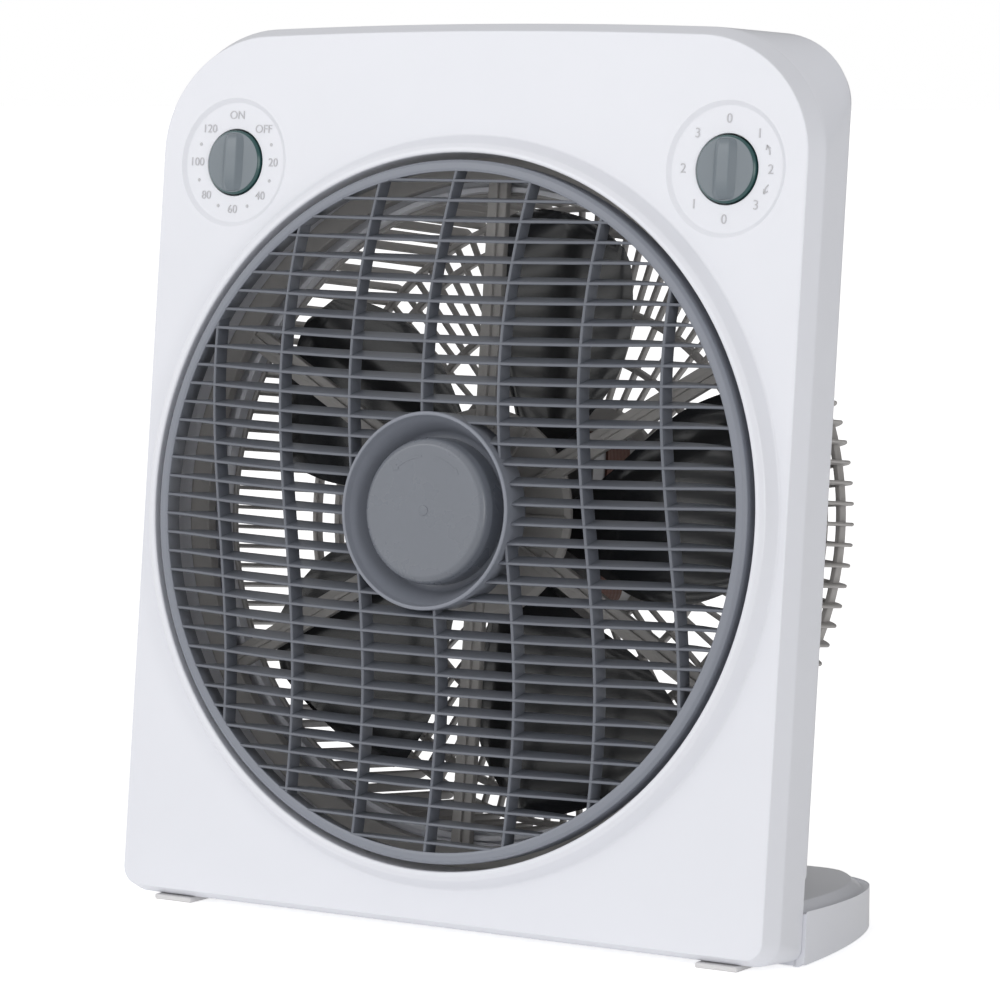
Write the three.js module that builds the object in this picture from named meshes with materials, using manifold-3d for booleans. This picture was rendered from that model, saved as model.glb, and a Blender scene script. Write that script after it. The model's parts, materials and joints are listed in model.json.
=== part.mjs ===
// Box fan with a slowly turning louvre grille in front of a five-blade impeller.
// Units are millimetres. Most pieces are laid out in panel axes: the origin is the centre of the
// grille on the front panel's plane, X is to the right, Y runs back into the body and Z runs up
// the panel. The body leans back by LEAN, and the stand and the feet are laid out in floor axes.
import * as THREE from 'three';
import { mergeVertices } from 'three/addons/utils/BufferGeometryUtils.js';
import Module from 'manifold-3d';

const wasm = await Module();
wasm.setup();

// Overall
const LEAN = THREE.MathUtils.degToRad(6.07);
const CLEARANCE = 0.3;
const PANEL_TO_FLOOR = 200;

// Housing
const BODY_HALF_WIDTH = 185;
const BODY_TOP = 230.5;
const BODY_FOOT_GAP = 3;
const CROWN_DROP = 4.5;
const TOP_CORNER = 62;
const TOP_CORNER_BACK = 36;
const BOTTOM_CORNER = 13;
const BOTTOM_CORNER_BACK = 6;
const EDGE_BEVEL_IN = 4.5;
const EDGE_BEVEL_BACK = 9;
const WALL = 2.6;
const FRONT_DEPTH = 29;
const REAR_DEPTH = 6.7;
const REAR_INSET = 2.2;
const REAR_BOTTOM = -158.5;
const REAR_LEDGE = 4;

// Front opening and its collar
const RING_GAP = 3.4;
const COLLAR_WIDTH = 11.6;
const COLLAR_RISE = 7.7;
const DUCT_WALL = 2.6;
const DUCT_END = 22;

// Dials and knobs
const DIAL_X = 138.3;
const DIAL_Z = 162.9;
const DISH_RADIUS = 31.3;
const DISH_DEPTH = 1.4;
const DISH_SLOPE = 2.2;
const WELL_DEPTH = 9;
const KNOB_RADIUS = 15.6;
const KNOB_GAP = 0.7;
const KNOB_PROUD = 0.4;
const GRIP_PROUD = 2.4;
const GRIP_WIDTH = 6.4;
const KNOB_SHAFT_RADIUS = 3;
const CONTROL_GAP = 0.5;
const TIMER_RADIUS = 21;
const CONTROL_LENGTH = 17;
const SWITCH_HALF = 15;

// Swinging grille
const RING_RADIUS = 165;
const RING_FACE = 5.6;
const RING_FRONT = -9.4;
const RING_DEPTH = 12.4;
const LATTICE_DEPTH = 9;
const LATTICE_SET_BACK = 0.9;
const DOME_RISE = 11.4;
const LOUVRE_PITCH = 18.24;
const LOUVRE_THICKNESS = 1.7;
const LOUVRE_TILT = THREE.MathUtils.degToRad(20);
const BAR_PITCH = 42.2;
const BAR_THICKNESS = 2;
const BAR_COUNT = 7;
const BAR_WAVE = 9;
const BAR_WAVE_HALF_LENGTH = 172;
const LATTICE_RIM = 0.6;
const SMALLEST_CELL = 14;
const SHORTEST_EDGE = 0.05;
const HUB_RIM_RADIUS = 46.4;
const HUB_RIM_PROUD = 3.1;
const HUB_FLOOR_DEPTH = 16;
const HUB_FLOOR_RADIUS = 36;
const HUB_WALL = 2.2;
const HUB_TAIL = 8;
const CAP_RADIUS = 34.5;
const CAP_EDGE = 4;
const CAP_SET_BACK = 0.2;
const CAP_THREAD_DEPTH = 5.2;

// Grille bearing
const SPINDLE_RADIUS = 4;
const SPINDLE_HEAD_RADIUS = 9;
const SPINDLE_HEAD = 3.6;
const BUSH_WALL = 2.2;
const WASHER_THICKNESS = 1.2;
const WASHER_RADIUS = 9.5;

// Bracket that carries the grille
const BRACKET_DISC_RADIUS = 50;
const BRACKET_DISC_FRONT = 26;
const BRACKET_DISC = 3;
const BRACKET_BOSS_RADIUS = 11;
const ARM_COUNT = 6;
const ARM_WIDTH = 11;
const ARM_DEPTH = 4.4;
const BRACKET_RING_WIDTH = 13;
const BRACKET_RING_DEPTH = 6.4;

// Impeller
const BLADE_COUNT = 5;
const BLADE_TIP_GAP = 10;
const BLADE_THICKNESS = 2.2;
const BLADE_MIDDLE = 50;
const BLADE_RISE_ROOT = 3.6;
const BLADE_RISE_TIP = 10.5;
const BLADE_HALF_ANGLE = THREE.MathUtils.degToRad(27);
const BLADE_SWEEP = THREE.MathUtils.degToRad(14);
const IMPELLER_TURN = THREE.MathUtils.degToRad(3);
const ROTOR_HUB_RADIUS = 32;
const ROTOR_HUB_FRONT = 40;
const ROTOR_HUB_DEPTH = 15;
const ROTOR_HUB_WALL = 2.5;
const ROTOR_BOSS_RADIUS = 9;
const NUT_RADIUS = 12;
const NUT_DEPTH = 5;

// Motor
const SHAFT_RADIUS = 4;
const PIN_RADIUS = 1;
const PIN_LENGTH = 16;
const STATOR_HALF = 42;
const STATOR_CORNER = 9;
const STATOR_FRONT = 70;
const STATOR_DEPTH = 20;
const STATOR_BORE = 24;
const AIR_GAP = 0.6;
const WINDING_INNER = 26;
const WINDING_OUTER = 37;
const WINDING_DEPTH = 7;
const BELL_DEPTH = 11;
const BELL_WALL = 2;
const BELL_BORE = 38.4;
const BEARING_RADIUS = 8;
const BEARING_DEPTH = 7;
const BOLT_PLACE = 34;
const BOLT_RADIUS = 2;
const BOLT_HEAD_RADIUS = 3.8;
const BOLT_HEAD = 2.6;

// Rear guard
const GUARD_RADIUS = 157;
const GUARD_END = 111;
const GUARD_WALL = 5;
const GUARD_BEND = 9;
const GUARD_FLANGE_OUT = 3;
const GUARD_FLANGE = 2.6;
const FIN_COUNT = 50;
const FIN_THICKNESS = 2.2;
const HOOP_WIDTH = 6;
const MOTOR_PLATE_RADIUS = 58;
const EAR_RADIUS = 8;
const EAR_OUT = 21;

// Stand
const STAND_HALF_WIDTH = 187;
const STAND_BACK = 156;
const STAND_MIDDLE_BACK = 120;
const STAND_LOBE_X = 128;
const STAND_HEIGHT_FRONT = 30;
const STAND_HEIGHT_BACK = 23;
const STAND_BEVEL = 6.6;
const STAND_LOW_BEVEL = 3;
const STAND_EDGE = 0.8;
const STAND_WALL = 2.6;
const STAND_LIP_TOP = 37;
const STAND_LIP_DEPTH = 4;
const FOOT_WIDTH = 22;
const FOOT_LENGTH = 16;
const FRONT_FOOT_X = 154;
const FRONT_FOOT_Y = 14;
const REAR_FOOT_X = 138;
const REAR_FOOT_Y = 122;
const REAR_FOOT_HEIGHT = 3;

// Electrical pieces and fixings
const GLAND_X = -150;
const GLAND_Z = -132;
const GLAND_RADIUS = 8.2;
const GLAND_BORE = 4.5;
const GLAND_OUT = 7;
const CAPACITOR = new THREE.Vector3(36, 16, 22);
const TERMINAL_BLOCK = new THREE.Vector3(30, 14, 18);
const LOW_PIECE_X = 148;
const LOW_PIECE_Z = -174;
const SCREW_RADIUS = 1.9;
const SCREW_HEAD_RADIUS = 4;
const SCREW_HEAD = 2.2;
const SCREW_LENGTH = 18;
const BOSS_RADIUS = 5;
const SCREW_PLACES = [[60, 205], [168, 110], [168, -130]];

// Places that follow from the sizes above
const tanLean = Math.tan(LEAN);
const openingRadius = RING_RADIUS + RING_GAP;
const collarRadius = openingRadius + COLLAR_WIDTH;
const ductOuter = openingRadius + DUCT_WALL;
const bracketRingInner = ductOuter - BRACKET_RING_WIDTH;
const rearOpening = GUARD_RADIUS - REAR_LEDGE;
const bladeTip = GUARD_RADIUS - BLADE_TIP_GAP;
const earPlace = GUARD_RADIUS + EAR_OUT;
const rearFace = FRONT_DEPTH + CLEARANCE + REAR_DEPTH;
const guardFront = rearFace + CLEARANCE;
const latticeFront = RING_FRONT + LATTICE_SET_BACK;
const latticeInner = RING_RADIUS - RING_FACE;
const hubFront = latticeFront - DOME_RISE - HUB_RIM_PROUD;
const hubFloor = hubFront + HUB_FLOOR_DEPTH;
const bushOuter = SPINDLE_RADIUS + CLEARANCE + BUSH_WALL;
const hubBore = bushOuter + CLEARANCE;
const capFront = hubFront + CAP_SET_BACK;
const capBack = hubFloor - CLEARANCE;
const washerFront = HUB_TAIL + CLEARANCE;
const bossFront = washerFront + WASHER_THICKNESS + CLEARANCE;
const bracketDiscBack = BRACKET_DISC_FRONT + BRACKET_DISC;
const wellRadius = KNOB_RADIUS + KNOB_GAP;
const controlFront = WELL_DEPTH + WALL + CONTROL_GAP;
const stator = { front: STATOR_FRONT, back: STATOR_FRONT + STATOR_DEPTH };
const bellFront = stator.front - CLEARANCE - BELL_DEPTH;
const bellBack = stator.back + CLEARANCE + BELL_DEPTH;
const motorReach = (STATOR_HALF - STATOR_CORNER) * Math.SQRT2 + STATOR_CORNER;
const plateFront = GUARD_END - GUARD_WALL;
const rotorHubBack = ROTOR_HUB_FRONT + ROTOR_HUB_DEPTH;
const pinPlace = rotorHubBack + CLEARANCE + PIN_RADIUS;
const nutFront = ROTOR_HUB_FRONT - CLEARANCE - NUT_DEPTH;

const colours = {
  housing: new THREE.MeshStandardMaterial({ color: 0xe9e9f0, roughness: 0.35, metalness: 0 }),
  duct: new THREE.MeshStandardMaterial({ color: 0xdcdad8, roughness: 0.45, metalness: 0 }),
  guard: new THREE.MeshStandardMaterial({ color: 0xc6c6cb, roughness: 0.45, metalness: 0 }),
  grille: new THREE.MeshStandardMaterial({ color: 0x767b83, roughness: 0.4, metalness: 0 }),
  knob: new THREE.MeshStandardMaterial({ color: 0x768289, roughness: 0.4, metalness: 0 }),
  blade: new THREE.MeshStandardMaterial({ color: 0x2c2e31, roughness: 0.25, metalness: 0 }),
  steel: new THREE.MeshStandardMaterial({ color: 0xb5b7ba, roughness: 0.3, metalness: 1 }),
  core: new THREE.MeshStandardMaterial({ color: 0x5b4038, roughness: 0.5, metalness: 0.4 }),
  bell: new THREE.MeshStandardMaterial({ color: 0xa3a5a8, roughness: 0.45, metalness: 0.9 }),
  copper: new THREE.MeshStandardMaterial({ color: 0xa4602c, roughness: 0.4, metalness: 0.6 }),
  bronze: new THREE.MeshStandardMaterial({ color: 0x9a7b4c, roughness: 0.5, metalness: 0.9 }),
  nylon: new THREE.MeshStandardMaterial({ color: 0xe3e0d6, roughness: 0.5, metalness: 0 }),
  electric: new THREE.MeshStandardMaterial({ color: 0x24262a, roughness: 0.5, metalness: 0 }),
  rubber: new THREE.MeshStandardMaterial({ color: 0xcfd0d2, roughness: 0.8, metalness: 0 }),
};

const fan = new THREE.Group();
const body = new THREE.Group();
body.rotation.x = -LEAN;
body.position.set(0, PANEL_TO_FLOOR * Math.sin(LEAN), PANEL_TO_FLOOR * Math.cos(LEAN));
fan.add(body);

// ---- Geometry helpers ----

function toSolid(geometry) {
  geometry.deleteAttribute('normal');
  geometry.deleteAttribute('uv');
  const merged = mergeVertices(geometry, 1e-3);
  const points = merged.attributes.position.array;
  const corner = (i) => new THREE.Vector3().fromArray(points, 3 * i);
  const faces = [];
  let volume = 0;
  for (let i = 0; i < merged.index.count; i += 3) {
    const [a, b, c] = [0, 1, 2].map((k) => merged.index.array[i + k]);
    if (a !== b && b !== c && c !== a) {
      faces.push([a, b, c]);
      volume += corner(a).dot(corner(b).cross(corner(c)));
    }
  }
  const outward = volume > 0 ? faces : faces.map(([a, b, c]) => [a, c, b]);
  const mesh = new wasm.Mesh({
    numProp: 3,
    vertProperties: new Float32Array(points),
    triVerts: new Uint32Array(outward.flat()),
  });
  return new wasm.Manifold(mesh);
}

function toGeometry(solid) {
  const mesh = solid.getMesh();
  const geometry = new THREE.BufferGeometry();
  geometry.setAttribute('position', new THREE.BufferAttribute(mesh.vertProperties, 3));
  geometry.setIndex(new THREE.BufferAttribute(mesh.triVerts, 1));
  geometry.computeVertexNormals();
  return geometry;
}

function add(name, solid, material, parent = body) {
  const mesh = new THREE.Mesh(toGeometry(solid), material);
  mesh.name = name;
  parent.add(mesh);
}

// A profile of [radius, y] points turned about the Y axis through (x, z).
function turned(profile, segments = 32, x = 0, z = 0) {
  const points = profile.map(([radius, y]) => new THREE.Vector2(radius, y));
  return toSolid(new THREE.LatheGeometry(points, segments).translate(x, 0, z));
}

function rod(radius, from, to, segments = 24, x = 0, z = 0) {
  return turned([[0, from], [radius, from], [radius, to], [0, to]], segments, x, z);
}

function tube(inner, outer, from, to, segments = 32, x = 0, z = 0) {
  const profile = [[inner, from], [outer, from], [outer, to], [inner, to], [inner, from]];
  return turned(profile, segments, x, z);
}

function block(x, y, z, width, depth, height) {
  return toSolid(new THREE.BoxGeometry(width, depth, height).translate(x, y, z));
}

// An outline in the XZ plane, extruded along Y.
function slab(shape, from, to, curveSegments = 8) {
  const settings = { depth: to - from, bevelEnabled: false, curveSegments };
  const geometry = new THREE.ExtrudeGeometry(shape, settings);
  return toSolid(geometry.rotateX(Math.PI / 2).translate(0, to, 0));
}

function roundedSquare(half, corner) {
  const shape = new THREE.Shape();
  const flat = half - corner;
  shape.absarc(flat, flat, corner, 0, Math.PI / 2);
  shape.absarc(-flat, flat, corner, Math.PI / 2, Math.PI);
  shape.absarc(-flat, -flat, corner, Math.PI, 1.5 * Math.PI);
  shape.absarc(flat, -flat, corner, 1.5 * Math.PI, 2 * Math.PI);
  return shape;
}

// A solid through rings of points, each ring with the same number of points, capped by fans.
function loft(rings) {
  const size = rings[0].length;
  const points = rings.flat();
  const faces = [];
  for (let level = 0; level < rings.length - 1; level += 1) {
    for (let i = 0; i < size; i += 1) {
      const a = level * size + i;
      const b = level * size + (i + 1) % size;
      faces.push(a, b, a + size, b, b + size, a + size);
    }
  }
  const cap = (ring, start, flip) => {
    points.push(new THREE.Box3().setFromPoints(ring).getCenter(new THREE.Vector3()));
    for (let i = 0; i < size; i += 1) {
      const pair = [start + i, start + (i + 1) % size];
      faces.push(points.length - 1, ...(flip ? pair.reverse() : pair));
    }
  };
  cap(rings[0], 0, true);
  cap(rings[rings.length - 1], (rings.length - 1) * size, false);
  const geometry = new THREE.BufferGeometry().setFromPoints(points);
  geometry.setIndex(faces);
  return toSolid(geometry);
}

function round(count, make) {
  return Array.from({ length: count }, (_, i) => make((2 * Math.PI * i) / count, i));
}

// ---- Housing ----

// A corner's radius at depth y: it tightens from the bevel's crease to the back of the front shell.
function cornerRadius(y, front, back) {
  const sides = FRONT_DEPTH - EDGE_BEVEL_BACK;
  const share = THREE.MathUtils.clamp((y - EDGE_BEVEL_BACK) / sides, 0, 1);
  return THREE.MathUtils.lerp(front, back, share);
}

// One section of the body at depth y: rounded corners, a crowned top and a floor-level bottom.
function bodySection(y, inset, bottom) {
  const half = BODY_HALF_WIDTH - inset;
  const top = BODY_TOP - inset;
  const low = bottom ?? -PANEL_TO_FLOOR + BODY_FOOT_GAP + y * tanLean + inset;
  const points = [];
  const corner = (x, z, radius, start) => {
    for (let i = 0; i <= 8; i += 1) {
      const angle = start + (i * Math.PI) / 16;
      points.push(new THREE.Vector3(x + radius * Math.cos(angle), y, z + radius * Math.sin(angle)));
    }
  };
  const upper = cornerRadius(y, TOP_CORNER, TOP_CORNER_BACK) - inset;
  const lower = cornerRadius(y, BOTTOM_CORNER, BOTTOM_CORNER_BACK) - inset;
  corner(half - lower, low + lower, lower, -Math.PI / 2);
  corner(half - upper, top - upper, upper, 0);
  for (let i = 1; i < 8; i += 1) {
    points.push(new THREE.Vector3((half - upper) * (1 - i / 4), y, top));
  }
  corner(-half + upper, top - upper, upper, Math.PI / 2);
  corner(-half + lower, low + lower, lower, Math.PI);
  points.forEach((p) => {
    const share = THREE.MathUtils.clamp((p.z - top + upper) / upper, 0, 1);
    p.z -= CROWN_DROP * share * (p.x / half) ** 2;
  });
  return points;
}

function screwPlaces() {
  return SCREW_PLACES.flatMap(([x, z]) => [[-x, z], [x, z]]);
}

function frontShell() {
  const outside = loft([
    bodySection(0, EDGE_BEVEL_IN),
    bodySection(EDGE_BEVEL_BACK, 0),
    bodySection(FRONT_DEPTH, 0),
  ]);
  const inside = loft([
    bodySection(WALL, EDGE_BEVEL_IN + WALL),
    bodySection(EDGE_BEVEL_BACK, WALL),
    bodySection(FRONT_DEPTH + WALL, WALL),
  ]);
  const collar = turned([
    [openingRadius, -COLLAR_RISE],
    [openingRadius + 1.8, -COLLAR_RISE],
    [openingRadius + 4.5, -COLLAR_RISE + 1.4],
    [collarRadius - 3, -1.1],
    [collarRadius, 0],
    [collarRadius, WALL],
    [ductOuter, WALL],
    [ductOuter, DUCT_END],
    [openingRadius, DUCT_END],
    [openingRadius, -COLLAR_RISE],
  ], 48);
  const cut = rod(openingRadius + DUCT_WALL / 2, -COLLAR_RISE, DUCT_END, 48);
  let shell = outside.subtract(inside).subtract(cut).add(collar);
  const dishFloor = DISH_RADIUS - DISH_SLOPE;
  const backing = [
    [0, WALL / 2], [DISH_RADIUS + WALL, WALL / 2], [DISH_RADIUS + WALL, DISH_DEPTH + WALL],
    [wellRadius + WALL, DISH_DEPTH + WALL], [wellRadius + WALL, WELL_DEPTH + WALL],
    [0, WELL_DEPTH + WALL],
  ];
  const dish = [
    [0, -1], [DISH_RADIUS, -1], [DISH_RADIUS, 0], [dishFloor, DISH_DEPTH],
    [wellRadius, DISH_DEPTH], [wellRadius, WELL_DEPTH], [0, WELL_DEPTH],
  ];
  [-DIAL_X, DIAL_X].forEach((x) => {
    shell = shell.add(turned(backing, 28, x, DIAL_Z)).subtract(turned(dish, 28, x, DIAL_Z));
    const shaftHole = KNOB_SHAFT_RADIUS + 2 * CLEARANCE;
    shell = shell.subtract(rod(shaftHole, 0, controlFront, 12, x, DIAL_Z));
  });
  screwPlaces().forEach(([x, z]) => {
    const hole = SCREW_RADIUS + CLEARANCE;
    shell = shell.add(rod(BOSS_RADIUS, WALL / 2, FRONT_DEPTH, 10, x, z));
    shell = shell.subtract(rod(hole, rearFace - SCREW_LENGTH - 1, FRONT_DEPTH + 1, 8, x, z));
  });
  return shell;
}

function rearShell() {
  const front = FRONT_DEPTH + CLEARANCE;
  const outside = loft([
    bodySection(front, REAR_INSET, REAR_BOTTOM),
    bodySection(rearFace - REAR_INSET, REAR_INSET, REAR_BOTTOM),
    bodySection(rearFace, 2 * REAR_INSET, REAR_BOTTOM + REAR_INSET),
  ]);
  const inside = loft([
    bodySection(front - 1, REAR_INSET + WALL, REAR_BOTTOM + WALL),
    bodySection(rearFace - WALL, REAR_INSET + WALL, REAR_BOTTOM + WALL),
  ]);
  let shell = outside.subtract(inside).add(rod(rearOpening + DUCT_WALL, front, rearFace, 48));
  shell = shell.subtract(rod(rearOpening, front - 1, rearFace + 1, 48));
  screwPlaces().forEach(([x, z]) => {
    shell = shell.subtract(rod(SCREW_RADIUS + CLEARANCE, front, rearFace + 1, 8, x, z));
  });
  earPlaces().forEach(([x, z]) => {
    shell = shell.add(rod(BOSS_RADIUS, front, rearFace - WALL / 2, 10, x, z));
    shell = shell.subtract(rod(SCREW_RADIUS + CLEARANCE, front - 1, rearFace + 1, 8, x, z));
  });
  const glandHole = GLAND_RADIUS - 2 * CLEARANCE;
  return shell.subtract(rod(glandHole, front, rearFace + 1, 20, GLAND_X, GLAND_Z));
}

// ---- Grille and its bearing ----

// The part of a polygon that lies inside a convex, anticlockwise fence.
function clip(polygon, fence) {
  let result = polygon;
  fence.forEach((start, i) => {
    const edge = fence[(i + 1) % fence.length].clone().sub(start);
    const side = (p) => edge.cross(p.clone().sub(start));
    const kept = [];
    result.forEach((p, j) => {
      const q = result[(j + 1) % result.length];
      const [atP, atQ] = [side(p), side(q)];
      if (atP >= 0) kept.push(p);
      if (atP * atQ < 0) kept.push(p.clone().lerp(q, atP / (atP - atQ)));
    });
    result = kept.filter((p, j) => p.distanceTo(kept[(j + 1) % kept.length]) > SHORTEST_EDGE);
  });
  return result;
}

function barAt(index, z) {
  const x = (index - (BAR_COUNT - 1) / 2) * BAR_PITCH;
  return x - BAR_WAVE * Math.sin((Math.PI * z) / BAR_WAVE_HALF_LENGTH);
}

function grilleCells() {
  const reach = latticeInner - LATTICE_RIM;
  const fence = round(64, (a) => new THREE.Vector2(reach * Math.cos(a), reach * Math.sin(a)));
  const rows = Math.ceil(latticeInner / LOUVRE_PITCH);
  const cells = [];
  for (let row = -rows; row < rows; row += 1) {
    const low = row * LOUVRE_PITCH + LOUVRE_THICKNESS / 2;
    const high = low + LOUVRE_PITCH - LOUVRE_THICKNESS;
    for (let bar = 0; bar <= BAR_COUNT; bar += 1) {
      const left = (z) => barAt(bar - 1, z) + BAR_THICKNESS / 2;
      const right = (z) => barAt(bar, z) - BAR_THICKNESS / 2;
      const corners = [[left(low), low], [right(low), low], [right(high), high], [left(high), high]];
      const cell = clip(corners.map(([x, z]) => new THREE.Vector2(x, z)), fence);
      const open = cell.some((p) => p.length() > HUB_RIM_RADIUS - HUB_WALL);
      if (open && cell.length > 2 && THREE.ShapeUtils.area(cell) > SMALLEST_CELL) cells.push(cell);
    }
  }
  return cells;
}

// Moves every corner of a solid by a rule that takes and changes a point.
function reshaped(solid, move) {
  const geometry = toGeometry(solid);
  const corners = geometry.attributes.position;
  const point = new THREE.Vector3();
  for (let i = 0; i < corners.count; i += 1) {
    move(point.fromBufferAttribute(corners, i));
    corners.setXYZ(i, point.x, point.y, point.z);
  }
  return toSolid(geometry);
}

// A flat plate with one hole for each cell, raised into a dome with the louvres tilted down.
function lattice() {
  const back = latticeFront + LATTICE_DEPTH;
  const plate = rod(RING_RADIUS - RING_FACE / 3, latticeFront, back, 64);
  const cells = grilleCells().map((cell) => slab(new THREE.Shape(cell), latticeFront - 1, back + 1));
  return reshaped(plate.subtract(wasm.Manifold.union(cells)), (point) => {
    const radius = Math.hypot(point.x, point.z);
    point.y -= DOME_RISE * (1 - (radius / RING_RADIUS) ** 2);
    const tilt = Math.tan(LOUVRE_TILT) * Math.max(0, 1 - (radius / latticeInner) ** 8);
    point.z += (point.y - latticeFront) * tilt;
  });
}

function swingGrille() {
  const ringBack = RING_FRONT + RING_DEPTH;
  const ring = turned([
    [latticeInner, RING_FRONT],
    [RING_RADIUS - 1.6, RING_FRONT],
    [RING_RADIUS, RING_FRONT + 1.6],
    [RING_RADIUS, ringBack],
    [latticeInner + 2, ringBack],
    [latticeInner, RING_FRONT],
  ], 64);
  const hub = turned([
    [hubBore, hubFloor],
    [HUB_FLOOR_RADIUS, hubFloor],
    [HUB_RIM_RADIUS - HUB_WALL, hubFront],
    [HUB_RIM_RADIUS - 0.8, hubFront],
    [HUB_RIM_RADIUS, hubFront + 0.8],
    [HUB_RIM_RADIUS, hubFloor + HUB_WALL / 2],
    [HUB_FLOOR_RADIUS + HUB_WALL, hubFloor + HUB_WALL],
    [hubBore + HUB_WALL + 1, hubFloor + HUB_WALL],
    [hubBore + HUB_WALL, HUB_TAIL],
    [hubBore, HUB_TAIL],
    [hubBore, hubFloor],
  ], 36);
  const cut = rod(HUB_RIM_RADIUS - HUB_WALL / 2, hubFront - 5, HUB_TAIL, 36);
  return lattice().subtract(cut).add(ring).add(hub);
}

function lockCap() {
  const bore = SPINDLE_RADIUS + CLEARANCE;
  const threadEnd = capBack - CAP_THREAD_DEPTH;
  const arc = Array.from({ length: 5 }, (_, i) => {
    const angle = (i * Math.PI) / 8;
    const radius = CAP_RADIUS - CAP_EDGE * (1 - Math.sin(angle));
    return [radius, capFront + CAP_EDGE * (1 - Math.cos(angle))];
  });
  return turned([
    [0, capFront], ...arc, [CAP_RADIUS, capBack],
    [bore, capBack], [bore, threadEnd], [0, threadEnd],
  ], 36);
}

function grilleBracket() {
  const front = DUCT_END + CLEARANCE;
  let bracket = tube(bracketRingInner, ductOuter, front, front + BRACKET_RING_DEPTH, 48);
  bracket = bracket.add(rod(BRACKET_DISC_RADIUS, BRACKET_DISC_FRONT, bracketDiscBack, 36));
  const reach = bracketRingInner + 2;
  const armMiddle = front + BRACKET_RING_DEPTH - ARM_DEPTH / 2;
  round(ARM_COUNT, (angle) => {
    const arm = new THREE.BoxGeometry(reach, ARM_DEPTH, ARM_WIDTH);
    arm.translate(reach / 2, armMiddle, 0).rotateY(angle + Math.PI / ARM_COUNT);
    bracket = bracket.add(toSolid(arm));
  });
  bracket = bracket.add(rod(BRACKET_BOSS_RADIUS, bossFront, bracketDiscBack, 32));
  return bracket.subtract(rod(SPINDLE_RADIUS + CLEARANCE, bossFront - 1, bracketDiscBack + 1, 24));
}

// ---- Controls ----

function knob(x) {
  const back = WELL_DEPTH - CLEARANCE;
  const bore = KNOB_SHAFT_RADIUS + CLEARANCE;
  const boreEnd = 2;
  const disc = turned([
    [0, -KNOB_PROUD], [KNOB_RADIUS - 1, -KNOB_PROUD], [KNOB_RADIUS, 1 - KNOB_PROUD],
    [KNOB_RADIUS, back], [bore, back], [bore, boreEnd], [0, boreEnd],
  ], 24, x, DIAL_Z);
  const length = 2 * KNOB_RADIUS - 3;
  const gripDepth = GRIP_PROUD + 1;
  const grip = block(x, 1 - KNOB_PROUD - gripDepth / 2, DIAL_Z, GRIP_WIDTH, gripDepth, length);
  return disc.add(grip);
}

function knobShaft(x) {
  const start = 2 + CLEARANCE;
  return rod(KNOB_SHAFT_RADIUS, start, controlFront - CLEARANCE, 20, x, DIAL_Z);
}

// ---- Impeller and motor ----

// One blade: a thin twisted sheet laid on a grid of radius and chord steps.
function blade(turn) {
  const radialSteps = 4;
  const chordSteps = 4;
  const root = ROTOR_HUB_RADIUS - ROTOR_HUB_WALL / 2;
  const point = (i, j, side) => {
    const along = i / radialSteps;
    const across = (2 * j) / chordSteps - 1;
    const radius = root + (bladeTip - root) * along;
    const width = BLADE_HALF_ANGLE * (0.72 + 0.5 * Math.sin(Math.PI * (0.15 + 0.7 * along)) ** 2);
    const angle = turn + across * width * 0.82 + BLADE_SWEEP * (along - 0.5);
    const pastMotor = THREE.MathUtils.clamp((radius - motorReach) / (bladeTip - motorReach), 0, 1);
    const rise = THREE.MathUtils.lerp(BLADE_RISE_ROOT, BLADE_RISE_TIP, pastMotor);
    const y = BLADE_MIDDLE + across * rise + side * BLADE_THICKNESS / 2;
    return new THREE.Vector3(radius * Math.cos(angle), y, radius * Math.sin(angle));
  };
  const rings = Array.from({ length: radialSteps + 1 }, (_, i) => {
    const front = Array.from({ length: chordSteps + 1 }, (_, j) => point(i, j, -1));
    const back = Array.from({ length: chordSteps + 1 }, (_, j) => point(i, chordSteps - j, 1));
    return [...front, ...back];
  });
  return loft(rings);
}

function impeller() {
  const inner = ROTOR_HUB_RADIUS - ROTOR_HUB_WALL;
  const floor = ROTOR_HUB_FRONT + ROTOR_HUB_WALL;
  const bore = SHAFT_RADIUS + CLEARANCE;
  let wheel = turned([
    [bore, ROTOR_HUB_FRONT], [ROTOR_HUB_RADIUS - 2, ROTOR_HUB_FRONT],
    [ROTOR_HUB_RADIUS, ROTOR_HUB_FRONT + 2], [ROTOR_HUB_RADIUS, rotorHubBack],
    [inner, rotorHubBack], [inner, floor], [ROTOR_BOSS_RADIUS, floor],
    [ROTOR_BOSS_RADIUS, rotorHubBack], [bore, rotorHubBack], [bore, ROTOR_HUB_FRONT],
  ], 24);
  round(BLADE_COUNT, (angle) => {
    wheel = wheel.add(blade(angle + IMPELLER_TURN));
  });
  return wheel;
}

function motorShaft() {
  const shaft = rod(SHAFT_RADIUS, nutFront + 1.5, bellBack - BELL_WALL, 24);
  const hole = new THREE.CylinderGeometry(PIN_RADIUS + CLEARANCE, PIN_RADIUS + CLEARANCE, 12, 12);
  return shaft.subtract(toSolid(hole.rotateZ(Math.PI / 2).translate(0, pinPlace, 0)));
}

function boltHoles(solid, from, to) {
  let result = solid;
  boltPlaces().forEach(([x, z]) => {
    result = result.subtract(rod(BOLT_RADIUS + CLEARANCE, from - 1, to + 1, 8, x, z));
  });
  return result;
}

function boltPlaces() {
  return [[1, 1], [-1, 1], [-1, -1], [1, -1]].map(([x, z]) => [x * BOLT_PLACE, z * BOLT_PLACE]);
}

function statorCore() {
  const core = slab(roundedSquare(STATOR_HALF, STATOR_CORNER), stator.front, stator.back, 3);
  const bore = rod(STATOR_BORE, stator.front - 1, stator.back + 1, 24);
  return boltHoles(core.subtract(bore), stator.front, stator.back);
}

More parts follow.
